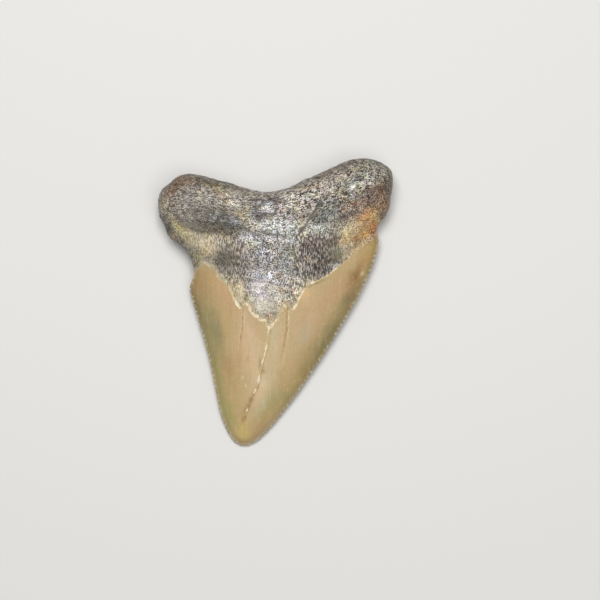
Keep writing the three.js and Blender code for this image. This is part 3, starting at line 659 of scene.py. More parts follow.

# The enamel's edge: an olive band that is partly painted shade, a painted highlight along the rim
# and painted shade in the nicks, as tones that start and are full at these distances from the rim
# in millimetres, or at these depths of nick, and their shares

EDGE_OLIVE = srgb(116, 102, 60)
OLIVE_BAND = (1.5, 0.3)
OLIVE_SHARE = 0.25
RIM_HIGHLIGHT_BAND = (0.5, 0.2)
RIM_HIGHLIGHT_BETWEEN_NICKS = (0.3, 0.02)
RIM_HIGHLIGHT_MOTTLE = (-0.5, 0.5)
RIM_HIGHLIGHT_LEAST = 0.2
RIM_HIGHLIGHT_SHARE = 0.8
NICK_BROWN = srgb(84, 72, 42)
BROWN_NICKS = (0.15, 0.6)
BROWN_NICK_SHARE = 0.5

# How far the lines of all cracks wander, in millimetres

CRACK_BENDS = 0.06
CRACK_JAGS = 0.045

# The main crack: the shares of its length at which it runs out and its lower part starts, the
# brown halo round it, and its cream line, brown line and pale chips. These have a half width,
# how much blotches vary that, an offset to the right and a soft edge, all in millimetres

CRACK_RUNS_OUT = (0.99, 0.95)
CRACK_LOWER_PART = (0.1, 0.75)
HALO_BAND = (0.8, 0.15)
HALO_BREAKS = (-0.6, 0.9)
HALO_SHARE = 0.2
CREAM_LINE = srgb(216, 182, 118)
CREAM_WIDTH = 0.12
CREAM_VARIETY = 0.05
CREAM_FADE = (-0.04, 0.06)
BROWN_WIDTH = 0.19
BROWN_VARIETY = 0.09
BROWN_OFFSET = 0.04
BROWN_FADE = (-0.06, 0.1)
BROWN_BLOTCHES = (-1.0, 0.6)
LINE_SHARE = 0.6
CHIP_WIDTH = 0.22
CHIP_VARIETY = 0.07
CHIP_OFFSET = -0.05
CHIP_FADE = (-0.04, 0.12)
CHIPS_SEEN = (0.1, 0.5)

# The fine cracks, in the same form: a brown line, and a pale one on the part by the margin

FINE_RUNS_OUT = (0.99, 0.6)
FINE_BROWN = srgb(150, 106, 58)
FINE_BAND = (0.16, 0.03)
FINE_DOTS = (-0.7, 0.5)
FINE_BREAKS = (-0.9, 0.3)
FINE_LEAST = 0.5
FINE_SHARE = 0.7
FINE_PALE_OFFSET = 0.2
FINE_PALE_BAND = (0.15, 0.04)
FINE_PALE_BREAKS = (0.5, -0.4)
FINE_PALE_PART = (0.5, 0.3)
FINE_PALE_SHARE = 0.6

# Where root and enamel meet: distances from the margin in millimetres, positive on the enamel

MARGIN_JAGS = 0.07
ENAMEL_EDGE = (-0.05, 0.05)
REMAINS_WANDER = 0.4
REMAINS_BAND = (-1.1, -0.2)
REMAINS_SHARE = 0.62
CRUMB_MEAN = 0.85
CRUMB_VARIETY = 0.8
BROKEN_WIDTH = 0.24
BROKEN_OFFSET = 0.04
BROKEN_FADE = (-0.05, 0.1)
BROKEN_SEEN = (0.1, 0.6)
BROKEN_SHARE = 0.9

# The surface's fine grain as a bump, and its gloss

BUMP_STRENGTH = 0.9
BUMP_HEIGHT = 0.05 * MM
ENAMEL_COAT = 0.25
COAT_ROUGHNESS = 0.25
REFRACTION = 1.6

# Numbers of a colour Mix node's sockets, and what brings a Noise node's value to -1 to 1

MIX_FIRST = 6
MIX_SECOND = 7
MIX_RESULT = 2
NOISE_MIDDLE = 0.5
NOISE_SPREAD = 6

# The stage: places and sizes of the lights, the camera's place over the tooth and the room

KEY_PLACE = (-0.03, 0.16, 0.42)
KEY_SIZE = 0.22
FILL_PLACE = (0.12, -0.10, 0.45)
FILL_SIZE = 0.30
CAMERA_PLACE = (3.84 * MM, 0.4 * MM)
CAMERA_SENSOR = 36
NEAREST_SEEN = 0.01
FLOOR_SIZE = 2.0
FLOOR_ROUGHNESS = 0.9
ROOM_LIGHT = 0.2


class ToothSizes(bpy.types.PropertyGroup):
    """The tooth's fine relief, which lies on the form of the solid."""

    enamel: bpy.props.FloatProperty(
        name="Enamel thickness",
        description="How far the enamel stands above the root at its broken margin",
        default=0.3 * MM,
        unit="LENGTH",
    )
    serration_pitch: bpy.props.FloatProperty(
        name="Serration pitch",
        description="From one serration of a cutting edge to the next",
        default=0.83 * MM,
        unit="LENGTH",
    )
    serration_depth: bpy.props.FloatProperty(
        name="Serration depth",
        description="How deep the nicks between the serrations are",
        default=0.33 * MM,
        unit="LENGTH",
    )
    worn_tip: bpy.props.FloatProperty(
        name="Worn tip",
        description="How far up each edge the tip has lost its serrations",
        default=3.0 * MM,
        unit="LENGTH",
    )
    crack_depth: bpy.props.FloatProperty(
        name="Crack depth",
        description="How deep the cracks in the enamel are",
        default=0.22 * MM,
        unit="LENGTH",
    )
    lumps: bpy.props.FloatProperty(
        name="Root lumps",
        description="Height of the worn lumps of the root",
        default=0.13 * MM,
        unit="LENGTH",
    )
    pits: bpy.props.FloatProperty(
        name="Root pits",
        description="Depth of the larger pores of the root",
        default=0.16 * MM,
        unit="LENGTH",
    )
    fibres: bpy.props.FloatProperty(
        name="Root fibres",
        description="Height of the fibres that run along the root",
        default=0.05 * MM,
        unit="LENGTH",
    )


class ToothColours(bpy.types.PropertyGroup):
    """Colours that the soft stains leave open."""

    # The colour of the painted glints: painted highlights on the root's grains
    painted_glint: bpy.props.FloatVectorProperty(
        name="Light specks",
        description="Glassy grains of the root",
        default=srgb(228, 230, 234),
        subtype="COLOR",
    )
    speck_dark: bpy.props.FloatVectorProperty(
        name="Dark specks",
        description="Pores of the root, filled with dark sediment",
        default=srgb(40, 31, 24),
        subtype="COLOR",
    )
    dust: bpy.props.FloatVectorProperty(
        name="Dust",
        description="A thin film of dust over the whole root",
        default=srgb(150, 142, 126),
        subtype="COLOR",
    )
    broken_enamel: bpy.props.FloatVectorProperty(
        name="Broken enamel",
        description="The fresh edge of the enamel along the margin and the main crack",
        default=srgb(232, 216, 184),
        subtype="COLOR",
    )
    enamel_remains: bpy.props.FloatVectorProperty(
        name="Enamel remains",
        description="Mottled cream band of the root along the enamel",
        default=srgb(196, 178, 134),
        subtype="COLOR",
    )
    crack_stain: bpy.props.FloatVectorProperty(
        name="Crack stain",
        description="Brown sediment in the cracks",
        default=srgb(134, 98, 54),
        subtype="COLOR",
    )
    # The colour of the painted highlight along the serrated rim
    edge_tones_and_painted_light: bpy.props.FloatVectorProperty(
        name="Worn cutting edge",
        description="The thin pale rim of the serrated edges",
        default=srgb(206, 196, 166),
        subtype="COLOR",
    )


class StageSettings(bpy.types.PropertyGroup):
    """The floor, the lights and the camera."""

    floor: bpy.props.FloatVectorProperty(
        name="Floor",
        description="Colour of the plain floor",
        default=srgb(226, 225, 222),
        subtype="COLOR",
    )
    view_height: bpy.props.FloatProperty(
        name="View height",
        description="Height of floor that the camera takes in",
        default=96.45 * MM,
        unit="LENGTH",
    )
    lens: bpy.props.FloatProperty(
        name="Lens",
        description="Focal length of the camera, in millimetres",
        default=200,
    )
    key_power: bpy.props.FloatProperty(
        name="Key light",
        description="Power of the large light beyond the root",
        default=1.5,
        unit="POWER",
    )
    fill_power: bpy.props.FloatProperty(
        name="Fill light",
        description="Power of the light beside the camera",
        default=0.52,
        unit="POWER",
    )


# Curves and distances


def smooth_curve(points, closed):
    """A centripetal Catmull-Rom curve through the points."""
    if closed:
        before, start = np.roll(points, 1, 0), points
        end, after = np.roll(points, -1, 0), np.roll(points, -2, 0)
    else:
        first = 2 * points[0] - points[1]
        last = 2 * points[-1] - points[-2]
        padded = np.vstack([first, points, last])
        before, start, end, after = padded[:-3], padded[1:-2], padded[2:-1], padded[3:]

    def gap(a, b):
        return np.sqrt(np.linalg.norm(b - a, axis=1, keepdims=True))

    g0, g1, g2 = gap(before, start), gap(start, end), gap(end, after)
    leaving = g1 * ((start - before) / g0 - (end - before) / (g0 + g1) + (end - start) / g1)
    arriving = g1 * ((end - start) / g1 - (after - start) / (g1 + g2) + (after - end) / g2)
    t = np.linspace(0, 1, CURVE_STEPS, endpoint=False)[:, None, None]
    square = 3 * (end - start) - 2 * leaving - arriving
    cube = 2 * (start - end) + leaving + arriving
    curve = (start + leaving * t + square * t**2 + cube * t**3).swapaxes(0, 1).reshape(-1, 2)
    return np.vstack([curve, curve[:1] if closed else points[-1:]])


def lengths_along(curve):
    steps = np.linalg.norm(np.diff(curve, axis=0), axis=1)
    return np.concatenate([[0], np.cumsum(steps)])


def at_lengths(curve, lengths):
    """The points of a curve that are some lengths along it."""
    known = lengths_along(curve)
    return np.column_stack([np.interp(lengths, known, curve[:, i]) for i in (0, 1)])


def evenly(curve, count):
    return at_lengths(curve, np.linspace(0, lengths_along(curve)[-1], count + 1))


def nearest(chain, places):
    """Each place's distance from a chain, the length along it there, and the side it is on."""
    best = np.full(len(places), np.inf)
    along = np.zeros(len(places))
    side = np.zeros(len(places))
    starts = lengths_along(chain)
    for number, (a, b) in enumerate(zip(chain[:-1], chain[1:])):
        length = starts[number + 1] - starts[number]
        way = (b - a) / length
        x, y = (places - a).T
        t = np.clip(x * way[0] + y * way[1], 0, length)
        gap = np.hypot(x - t * way[0], y - t * way[1])
        closer = gap < best
        best[closer] = gap[closer]
        along[closer] = starts[number] + t[closer]
        side[closer] = np.sign(way[0] * y - way[1] * x)[closer]
    return best, along, side


def inside(polygon, places):
    """Whether each place is inside a closed polygon."""
    x, y = places.T
    within = np.zeros(len(places), bool)
    for (ax, ay), (bx, by) in zip(polygon, np.roll(polygon, -1, 0)):
        if ay != by:
            crosses = (ay > y) != (by > y)
            within ^= crosses & (x < ax + (y - ay) / (by - ay) * (bx - ax))
    return within


def beyond_margin(margin, places):
    """Distance from a margin, positive on the enamel and negative on the root."""
    far = BEYOND * 2
    corners = [(far, margin[-1][1]), (far, -far), (-far, -far), (-far, margin[0][1])]
    crown = inside(np.vstack([margin, corners]), places)
    distance = nearest(margin, places)[0]
    return np.where(crown, distance, -distance)


def step(value, low, high):
    """Goes smoothly from 0 at one value to 1 at the other."""
    t = np.clip((value - low) / (high - low), 0, 1)
    return t * t * (3 - 2 * t)


def mixed(a, b, share):
    return a + (b - a) * share


def blob(places, x, y, along, across, angle):
    """1 in the middle of an ellipse, fading to 0 round it. Its sizes are in millimetres."""
    turn = math.radians(angle)
    dx, dy = (places / MM - (x, y)).T
    u = (dx * math.cos(turn) + dy * math.sin(turn)) / along
    v = (dy * math.cos(turn) - dx * math.sin(turn)) / across
    return np.exp(-u * u - v * v)


# The form of the tooth, as in the solid


def carried_on(from_tip):
    """A cutting edge from the tip up, carried on in a straight line past its shoulder."""
    shoulder = round(len(from_tip) * SHOULDER_SHARE)
    way = from_tip[shoulder] - from_tip[len(from_tip) // 2]
    far_end = from_tip[shoulder] + way * (BEYOND / np.hypot(*way))
    return np.vstack([from_tip[: shoulder + 1], far_end])


def rootness(places):
    """0 on the crown and 1 on the root."""
    x, y = places.T
    line_x, line_y, slope = SHOULDER_LINE
    return step(y - line_y - (x - line_x) * slope, 0, NECK_LENGTH)


def above_roll(places):
    """How far each place is above the lower side of the root's roll."""
    return places[:, 1] - np.interp(places[:, 0], *ROLL_LINE.T)


def quarter_round(share):
    return np.sqrt(1 - (1 - np.clip(share, 0, 1)) ** 2)


def heights(places):
    """Heights of the rim, the lingual face and the labial face, and the distance to the rim."""
    rim_curve = smooth_curve(SILHOUETTE, closed=True)
    left_edge = smooth_curve(in_metres(TIP + LEFT_CUTTING_EDGE), closed=False)
    right_edge = smooth_curve(in_metres(RIGHT_CUTTING_EDGE + TIP), closed=False)[::-1]
    to_left = nearest(carried_on(evenly(left_edge, EDGE_STEPS)), places)[0]
    to_right = nearest(carried_on(evenly(right_edge, EDGE_STEPS)), places)[0]
    to_rim = nearest(evenly(rim_curve, DISTANCE_STEPS), places)[0]
    width = to_left + to_right
    root = rootness(places)

    thickness = CROWN_THICKNESS * (np.minimum(width, CROWN_WIDTH) / CROWN_WIDTH) ** CROWN_TAPER
    lens = (4 * to_left * to_right / np.maximum(width, NO_WIDTH) ** 2) ** BLADE_THINNING
    crown_rim = CROWN_FLOOR + (1 - LINGUAL_SHARE) * thickness
    crown_top = crown_rim + LINGUAL_SHARE * thickness * lens
    crown_bottom = crown_rim - (1 - LINGUAL_SHARE) * thickness * lens

    upper = quarter_round(to_rim / LINGUAL_ROUNDING)
    lower = quarter_round(to_rim / LABIAL_ROUNDING)
    roll = ROLL_DROP * step(above_roll(places), -ROLL_DROP_WIDTH / 2, ROLL_DROP_WIDTH / 2)
    root_top = mixed(ROOT_RIM_HEIGHT, ROOT_TOP + roll, upper)
    root_bottom = mixed(ROOT_RIM_HEIGHT, ROOT_FLOOR, lower)

    lumps = sum(lump[-1] * MM * blob(places, *lump[:-1]) for lump in LUMPS)
    rests = sum(depth * MM * blob(places, x, y, r, r, 0) for x, y, r, depth in RESTS)
    rim = mixed(crown_rim, ROOT_RIM_HEIGHT, root)
    top = mixed(crown_top, root_top, root) + lumps * mixed(lens, upper, root)
    bottom = mixed(crown_bottom, root_bottom, root) - rests * mixed(lens, lower, root)
    return rim, top, bottom, to_rim


class Stations:
    """Places round the rim for the vertices, and how deep in a nick each of them is."""

    def __init__(self, sizes):
        curve = smooth_curve(SILHOUETTE, closed=True)
        lengths = lengths_along(curve)
        corners = (BEFORE_EDGES, TIP_NUMBER, LAST_EDGE_NUMBER)
        edge_start, tip, edge_end = (lengths[corner * CURVE_STEPS] for corner in corners)
        edge_step = sizes.serration_pitch / STEPS_PER_SERRATION
        before = math.floor((tip - edge_start) / edge_step)
        after = math.floor((edge_end - tip) / edge_step)
        serrated = tip + edge_step * np.arange(-before, after + 1)
        plain = lengths[-1] - (serrated[-1] - serrated[0])
        gaps = round(plain / ROOT_STEP)
        root = serrated[-1] + plain / gaps * np.arange(1, gaps)
        places = np.concatenate([serrated, root])
        self.count = len(places)
        self.rim = at_lengths(curve, places % lengths[-1])
        self.nick = self.nick_depths(places, places - tip, sizes)
        self.nick[len(serrated) :] = 0

    def nick_depths(self, places, from_tip, sizes):
        """1 in a deep nick and 0 on a serration or by the worn tip."""
        phase = from_tip / sizes.serration_pitch
        from_nick = np.abs(phase - np.round(phase)) * 2
        worn_tip = sizes.worn_tip
        sharp = step(np.abs(from_tip), worn_tip * (1 - TIP_FADE), worn_tip * (1 + TIP_FADE))
        points = [Vector((place / MM / UNEVEN_WAVE, UNEVEN_SEED, 0)) for place in places]
        uneven = np.array([noise.noise(point) for point in points])
        depth = np.clip(NICK_DEPTH + NICK_VARIETY * uneven, *NICK_LIMITS)
        return (1 - from_nick) ** 2 * sharp * depth


def sphere_numbers(mesh_places, around):
    """Each vertex's number round the sphere and its ring, counted from the top pole."""
    x, y, z = mesh_places.T
    station = np.round(np.arctan2(y, x) / (2 * math.pi) * around).astype(int) % around
    ring = np.round(np.arccos(np.clip(z, -1, 1)) / math.pi * RING_COUNT).astype(int)
    return station, ring


def shifted(seed):
    """Where a seed's noise is read, away from that of the other seeds."""
    return Vector([seed * shift for shift in SEED_SHIFT])


def fractal(places, scale, octaves, seed):
    """Smooth noise of some octaves, read at each place; scale is in waves per millimetre."""
    shift = shifted(seed)
    shape = (OCTAVE_DROP, OCTAVE_STEP, octaves)
    points = places / MM * scale
    return np.array([noise.fractal(Vector(point) + shift, *shape) for point in points])


def pits_at(places, scale, seed):
    """1 at the bottom of scattered pits and 0 between them."""
    shift = shifted(seed)
    depths = []
    for point in places / MM * scale:
        distances, cells = noise.voronoi(Vector(point) + shift)
        chosen = noise.noise(cells[0] * PIT_SPREAD) > PIT_LIMIT
        depths.append(max(0.0, 1 - distances[0] / PIT_RADIUS) if chosen else 0.0)
    return np.array(depths)


def added(name, data):
    """A new object in the scene, with its mesh, light or camera."""
    thing = bpy.data.objects.new(name, data)
    bpy.context.scene.collection.objects.link(thing)
    return thing


def added_mesh(name, form):
    """A new mesh object in the scene from a bmesh."""
    mesh = bpy.data.meshes.new(name)
    form.to_mesh(mesh)
    form.free()
    return added(name, mesh)


def new_sphere(around):
    """A unit sphere as a mesh object: a grid bent round, closed at its seam and poles."""
    form = bmesh.new()
    bmesh.ops.create_grid(form, x_segments=around, y_segments=RING_COUNT, size=1)
    for vertex in form.verts:
        longitude = (vertex.co.x + 1) * math.pi
        latitude = vertex.co.y * math.pi / 2
        level = math.cos(latitude)
        vertex.co = (level * math.cos(longitude), level * math.sin(longitude), math.sin(latitude))
    open_edge = [vertex for vertex in form.verts if vertex.is_boundary]
    bmesh.ops.remove_doubles(form, verts=open_edge, dist=SEAM_GAP)
    return added_mesh("fossil_tooth", form)


def read_vertices(mesh, kind):
    values = np.empty(len(mesh.vertices) * 3)
    mesh.vertices.foreach_get(kind, values)
    return values.reshape(-1, 3)


def move_vertices(mesh, places):
    mesh.vertices.foreach_set("co", places.ravel())
    mesh.update()


def keep(mesh, name, kind, values):
    """Stores one value for each vertex, for the material to read."""
    field = {"FLOAT": "value", "FLOAT_VECTOR": "vector", "FLOAT_COLOR": "color"}[kind]
    attribute = mesh.attributes.new(name, kind, "POINT")
    attribute.data.foreach_set(field, np.ascontiguousarray(values, np.float32).ravel())


def with_patches(places, base, patches):
    """The colour at each place, after soft patches on a base colour: stains, and in some lists
    painted shade and light.
    """
    colour = np.broadcast_to(base, (len(places), 3))
    for *ellipse, tint, strength in patches:
        share = blob(places, *ellipse)[:, None] * strength
        colour = mixed(colour, np.array(tint), share)
    return colour


def crack_field(chain, places):
    """Signed distance from a crack in millimetres, and the share of its length passed."""
    distance, along, side = nearest(chain, places)
    return distance * side / MM, along / lengths_along(chain)[-1]


def fine_crack_field(places):
    """The same for the nearer of the two fine cracks."""
    left_side, left_share = crack_field(LEFT_CRACK, places)
    right_side, right_share = crack_field(RIGHT_CRACK, places)
    left = np.abs(left_side) < np.abs(right_side)
    return np.where(left, left_side, right_side), np.where(left, left_share, right_share)


def groove_of(crack, share_of_depth, half_width, runs_out):
    """How deep a crack's groove is, as a share of the depth of cracks."""
    side, share = crack
    return share_of_depth * np.exp(-((side / half_width) ** 2)) * step(share, 1.0, runs_out)


class Skin:
    """Each vertex of the tooth, seen from above, and what its form and its finish need."""

    def __init__(self, mesh, stations, sizes):
        station, ring = sphere_numbers(read_vertices(mesh, "co"), stations.count)
        self.lingual = ring <= LINGUAL_RINGS
        self.on_rim = ring == LINGUAL_RINGS
        above = 1 - ring / LINGUAL_RINGS
        below = (ring - LINGUAL_RINGS) / LABIAL_RINGS
        inward = np.where(self.lingual, above, below) ** RING_CROWDING
        rim = stations.rim[station]
        reach = np.linalg.norm(rim - CENTRE, axis=1)
        self.inwards = (CENTRE - rim) / reach[:, None]
        self.nick = stations.nick[station]
        self.bite = self.nick * np.exp(-inward * reach / NICK_REACH)
        self.flat = mixed(rim, CENTRE, inward[:, None])
        self.flat += self.inwards * (self.bite * sizes.serration_depth)[:, None]
        self.rim_height, self.top, self.bottom, self.to_rim = heights(self.flat)

        level = np.column_stack([self.flat, 0 * self.to_rim])
        ragged = MARGIN_RAGGEDNESS * fractal(level, *MARGIN_NOISE)
        self.wander = np.column_stack([fractal(level, *one) for one in WANDER_NOISES])
        self.margin = self.margin_distance(ragged)
        self.enamel = self.enamel_share()
        self.main_crack = crack_field(MAIN_CRACK, self.flat)
        self.fine_crack = fine_crack_field(self.flat)
        self.height = self.face_heights(sizes)
        set_back = (1 - self.enamel) * (1 - rootness(self.flat)) * sizes.enamel
        set_back *= np.exp(-self.to_rim / SET_BACK_REACH)
        self.flat += self.inwards * set_back[:, None]

        arch = smooth_curve(ROLL_BACK, closed=False)
        above_arch = self.flat[:, 1] - np.interp(self.flat[:, 0], *arch.T)
        self.grain = np.column_stack([self.flat[:, 0], above_arch, self.height])
        self.roll = step(above_roll(self.flat), -ROLL_BLEND, ROLL_BLEND)
        self.dirt, self.furrows = self.furrow_depths()

    def margin_distance(self, ragged):
        """Distance from the enamel's margin: the lingual one above, the labial one below."""
        above = beyond_margin(LINGUAL_MARGIN, self.flat) + ragged
        below = beyond_margin(LABIAL_MARGIN, self.flat) + ragged
        return mixed(above, below, np.where(self.lingual, 0, step(self.to_rim, 0, ROUND_THE_RIM)))

    def enamel_share(self):
        """1 on the enamel, falling to 0 over the step or the worn slope at its margin."""
        x = self.flat[:, 0]
        worn = sum(share * step(x, start * MM, full * MM) for start, full, share in WORN_STRETCHES)
        slope = np.where(self.lingual, mixed(SHARP_STEP, WORN_STEP, worn), LABIAL_STEP)
        return step(self.margin, -slope, SHARP_STEP)

    def face_heights(self, sizes):
        """The solid's heights with the enamel on both faces, its cracks and the nicks' grooves."""
        main_groove = groove_of(self.main_crack, *MAIN_GROOVE)
        fine_groove = groove_of(self.fine_crack, *FINE_GROOVE)
        cracks = np.maximum(main_groove, fine_groove) * self.enamel * sizes.crack_depth
        nicks = self.nick * np.exp(-self.to_rim / NICK_GROOVE_REACH) * NICK_GROOVE
        thinned = mixed(THIN_ENAMEL, 1, step(self.to_rim, 0, THIN_ENAMEL_REACH))
        thickness = self.enamel * sizes.enamel * thinned
        upper = self.top + thickness - cracks - nicks
        lower = self.bottom - thickness
        lower = (lower + np.hypot(lower, REST_SOFTNESS)) / 2 - REST_SINK
        return np.where(self.on_rim, self.rim_height, np.where(self.lingual, upper, lower))

    def furrow_depths(self):
        """Share of dirt and painted shade, and depth of the lingual root's furrows."""
        places = self.flat + MARK_WANDER * self.wander
        dirt = np.zeros(len(places))
        depths = np.zeros(len(places))
        for points, half_width, depth in FURROWS:
            away = nearest(smooth_curve(in_metres(points), closed=False), places)[0]
            share = np.exp(-((away / (half_width * MM)) ** 2))
            share *= np.where(self.lingual, 1 - self.enamel, 0)
            dirt = np.maximum(dirt, share * min(1, depth / DARK_FURROW))
            depths = np.maximum(depths, share * depth * MM)
        return dirt, depths

    def relief(self, solid, sizes):
        """The root's lumps, fibres, pits and furrows."""
        relief = sizes.lumps * fractal(solid, *LUMP_NOISE)
        relief += FINE_LUMPS * sizes.lumps * fractal(solid, *FINE_LUMP_NOISE)
        along_roll = fractal(self.grain * FIBRES_ALONG_ROLL, *ROLL_NOISE)
        down_neck = fractal(solid * FIBRES_DOWN_NECK, *NECK_NOISE)
        relief += sizes.fibres * mixed(down_neck, along_roll, self.roll)
        relief -= sizes.pits * pits_at(solid, PIT_CELLS, PIT_SEED)
        relief *= (1 - self.enamel) * np.where(self.lingual, 1, LABIAL_RELIEF)
        return relief - self.furrows


def keep_tints(mesh, skin):
    """Stores the colours of the root and of the crown under their patterns: stains, with painted
    shade and painted light.
    """
    places = skin.flat + STAIN_WANDER * skin.wander
    # Painted shade along the root's rim
    rim_shade = RIM_SHADE_SHARE * step(skin.to_rim, *RIM_SHADE_BAND)
    seen = with_patches(places, ROOT_BASE, ROOT_STAINS_LIGHT_AND_SHADE)
    seen = mixed(seen, np.array(RIM_SHADE), rim_shade[:, None])
    # Dirt and painted shade in the furrows
    seen = mixed(seen, np.array(FURROW_DIRT_AND_SHADE), FURROW_DIRT_AND_SHADE_SHARE * skin.dirt[:, None])
    under = np.where(skin.lingual, 0, step(skin.to_rim, 0, UNDER_BLEND))
    root = mixed(seen, with_patches(places, ROOT_BASE, UNDER_STAINS), under[:, None])

    places = skin.flat + MARK_WANDER * skin.wander
    crown = with_patches(places, CROWN_BASE, CROWN_STAINS_AND_SHADE)
    crown = np.where(skin.lingual[:, None], with_patches(places, crown, LINGUAL_MARKS), crown)
    opaque = np.ones((len(places), 1))
    keep(mesh, "root_tint", "FLOAT_COLOR", np.hstack([root, opaque]))
    keep(mesh, "crown_tint", "FLOAT_COLOR", np.hstack([crown, opaque]))


def keep_edges(mesh, skin):
    """Stores where the margin, the rim, the nicks, the cracks and the chips are."""
    keep(mesh, "margin", "FLOAT", skin.margin / MM)
    keep(mesh, "rim_distance", "FLOAT", skin.to_rim / MM)
    keep(mesh, "nick", "FLOAT", skin.bite)
    facing = np.where(skin.lingual, 0.0, 1.0)
    for name, crack in (("main_crack", skin.main_crack), ("fine_crack", skin.fine_crack)):
        keep(mesh, name, "FLOAT_VECTOR", np.column_stack([*crack, facing]))
    chips = sum(share * blob(skin.flat, *ellipse) for *ellipse, share in BROKEN_EDGE)
    chips += sum(share * blob(skin.flat, *ellipse) for *ellipse, share in CRACK_CHIPS)
    keep(mesh, "chips", "FLOAT", np.where(skin.lingual, chips, LABIAL_CHIPS))
    keep(mesh, "bare", "FLOAT", sum(blob(skin.flat, *ellipse) for ellipse in BARE_MARGIN))


def keep_grain(mesh, skin):
    """Stores how strong the root's grain is, and where and which way its fibres run."""
    x, y = skin.flat.T
    neck_fibres = step(np.abs(x - NECK_MIDDLE), *FIBRES_OUT_FROM)
    neck_fibres *= step(x, *FIBRES_LEFT_OF) * step(y, *FIBRES_BELOW)
    grainy = GRAIN + sum(more * blob(skin.flat, *ellipse) for *ellipse, more in GRAIN_PLACES)
    grainy -= GRAIN_LOST_IN_DARK_FURROWS * skin.dirt
    keep(mesh, "grain", "FLOAT_VECTOR", skin.grain / MM)
    keep(mesh, "roll", "FLOAT", skin.roll)
    keep(mesh, "fibrous", "FLOAT", mixed(neck_fibres, ROLL_FIBRES, skin.roll))
    keep(mesh, "speckled", "FLOAT", np.clip(grainy, 0, GRAIN_LIMIT))


def model_tooth(sizes):
    """The tooth as one closed mesh, with what its material reads."""
    stations = Stations(sizes)
    piece = new_sphere(stations.count)
    mesh = piece.data
    skin = Skin(mesh, stations, sizes)
    middle = (LOWEST + HIGHEST) / 2
    solid = np.column_stack([skin.flat + (middle.x, middle.y), skin.height])
    move_vertices(mesh, solid)
    solid = solid + read_vertices(mesh, "normal") * skin.relief(solid, sizes)[:, None]
    solid[:, 2] = np.maximum(solid[:, 2], 0)
    move_vertices(mesh, solid)
    keep_tints(mesh, skin)
    keep_edges(mesh, skin)
    keep_grain(mesh, skin)
    for polygon in mesh.polygons:
        polygon.use_smooth = True
    return piece


# Shaders


class Wire:
    """A socket whose value can be used in Python sums, each adding a Math node."""

    def __init__(self, socket):
        self.socket = socket

    def math(self, operation, *others):
        values = {i: other for i, other in enumerate((self,) + others)}
        return add_node(self.socket.id_data, "ShaderNodeMath", {"operation": operation}, values)

    def __add__(self, other):
        return self.math("ADD", other)

    __radd__ = __add__

    def __mul__(self, other):
        return self.math("MULTIPLY", other)

    __rmul__ = __mul__

    def __sub__(self, other):
        return self.math("SUBTRACT", other)

    def __rsub__(self, other):
        return self.math("MULTIPLY_ADD", -1, other)

    def __abs__(self):
        return self.math("ABSOLUTE")

    def ramp(self, low, high):
        """Rises smoothly from 0 at one value to 1 at the other."""
        settings = {"interpolation_type": "SMOOTHSTEP"}
        sockets = {"Value": self, "From Min": min(low, high), "From Max": max(low, high)}
        sockets |= {"To Min": float(low > high), "To Max": float(low < high)}
        return add_node(self.socket.id_data, "ShaderNodeMapRange", settings, sockets)


def add_node(tree, kind, settings=None, sockets=None, output=0):
    """Adds a node, sets it, fills its sockets with values or wires, and gives any output."""
    node = tree.nodes.new(kind)
    for name, value in (settings or {}).items():
        setattr(node, name, value)
    for name, value in (sockets or {}).items():
        if isinstance(value, Wire):
            tree.links.new(value.socket, node.inputs[name])
        else:
            node.inputs[name].default_value = value
    return Wire(node.outputs[output]) if node.outputs else None


class Paint:
    """The nodes that the tooth's material is made of."""

    def __init__(self, tree):
        self.tree = tree
        place = add_node(tree, "ShaderNodeTexCoord", output="Object")
        self.place = self.scaled(place, even(1 / MM))

    def scaled(self, vector, factors):
        sockets = {0: vector, 1: factors}
        return add_node(self.tree, "ShaderNodeVectorMath", {"operation": "MULTIPLY"}, sockets)

    def attribute(self, name, output="Fac"):
        return add_node(self.tree, "ShaderNodeAttribute", {"attribute_name": name}, output=output)

    def parts(self, vector):
        node = add_node(self.tree, "ShaderNodeSeparateXYZ", sockets={0: vector}).socket.node
        return [Wire(socket) for socket in node.outputs]

    def noise(self, name, vector=None):
        """One of the patterns, round 0 and between about -1 and 1."""
        waves, detail, roughness = PATTERNS[name]
        vector = self.scaled(vector or self.place, waves)
        sockets = {"Vector": vector, "Scale": 1.0, "Detail": detail, "Roughness": roughness}
        noise_wire = add_node(self.tree, "ShaderNodeTexNoise", sockets=sockets)
        return (noise_wire - NOISE_MIDDLE) * NOISE_SPREAD

    def mix(self, share, first, second, blend="MIX"):
        """Mixes two colours, given as values or wires."""
        settings = {"data_type": "RGBA", "blend_type": blend}
        sockets = {0: share}
        sockets[MIX_FIRST] = first if isinstance(first, Wire) else (*first, 1)
        sockets[MIX_SECOND] = second if isinstance(second, Wire) else (*second, 1)
        return add_node(self.tree, "ShaderNodeMix", settings, sockets, MIX_RESULT)

    def blend_numbers(self, share, first, second):
        return first + share * (second - first)

    def layered(self, colour, patterns, layers, strength=1.0, blend="MIX"):
        """Lays tints on a colour, each where its own pattern is high enough or low enough."""
        for name, start, full, share, tint in layers:
            cover = patterns[name].ramp(start, full) * strength * share
            colour = self.mix(cover, colour, tint, blend)
        return colour


def line_at(side, middle, half_width, fade):
    """1 on a line of the given half width and 0 beside it, with a soft edge."""
    return (half_width - abs(side - middle)).ramp(*fade)


def root_speckle(paint, strength):
    """The root's grain round 0, and its two parts: fibres and round grains."""
    along_roll = paint.noise("roll fibres", paint.attribute("grain", "Vector"))
    fibres = paint.blend_numbers(paint.attribute("roll"), paint.noise("neck fibres"), along_roll)
    grains = paint.noise("grains")
    fibrous = paint.attribute("fibrous")
    speckle = fibres * (FIBRE_SHARE + fibrous)
    speckle = speckle + grains * (GRAIN_SHARE - GRAIN_LOST_IN_FIBRES * fibrous)
    speckle = speckle + paint.noise("clumps") * CLUMP_SHARE
    contrast = (strength - GRAIN).ramp(0, CONTRAST_RANGE) * MORE_CONTRAST + 1
    return speckle * contrast, fibres, grains


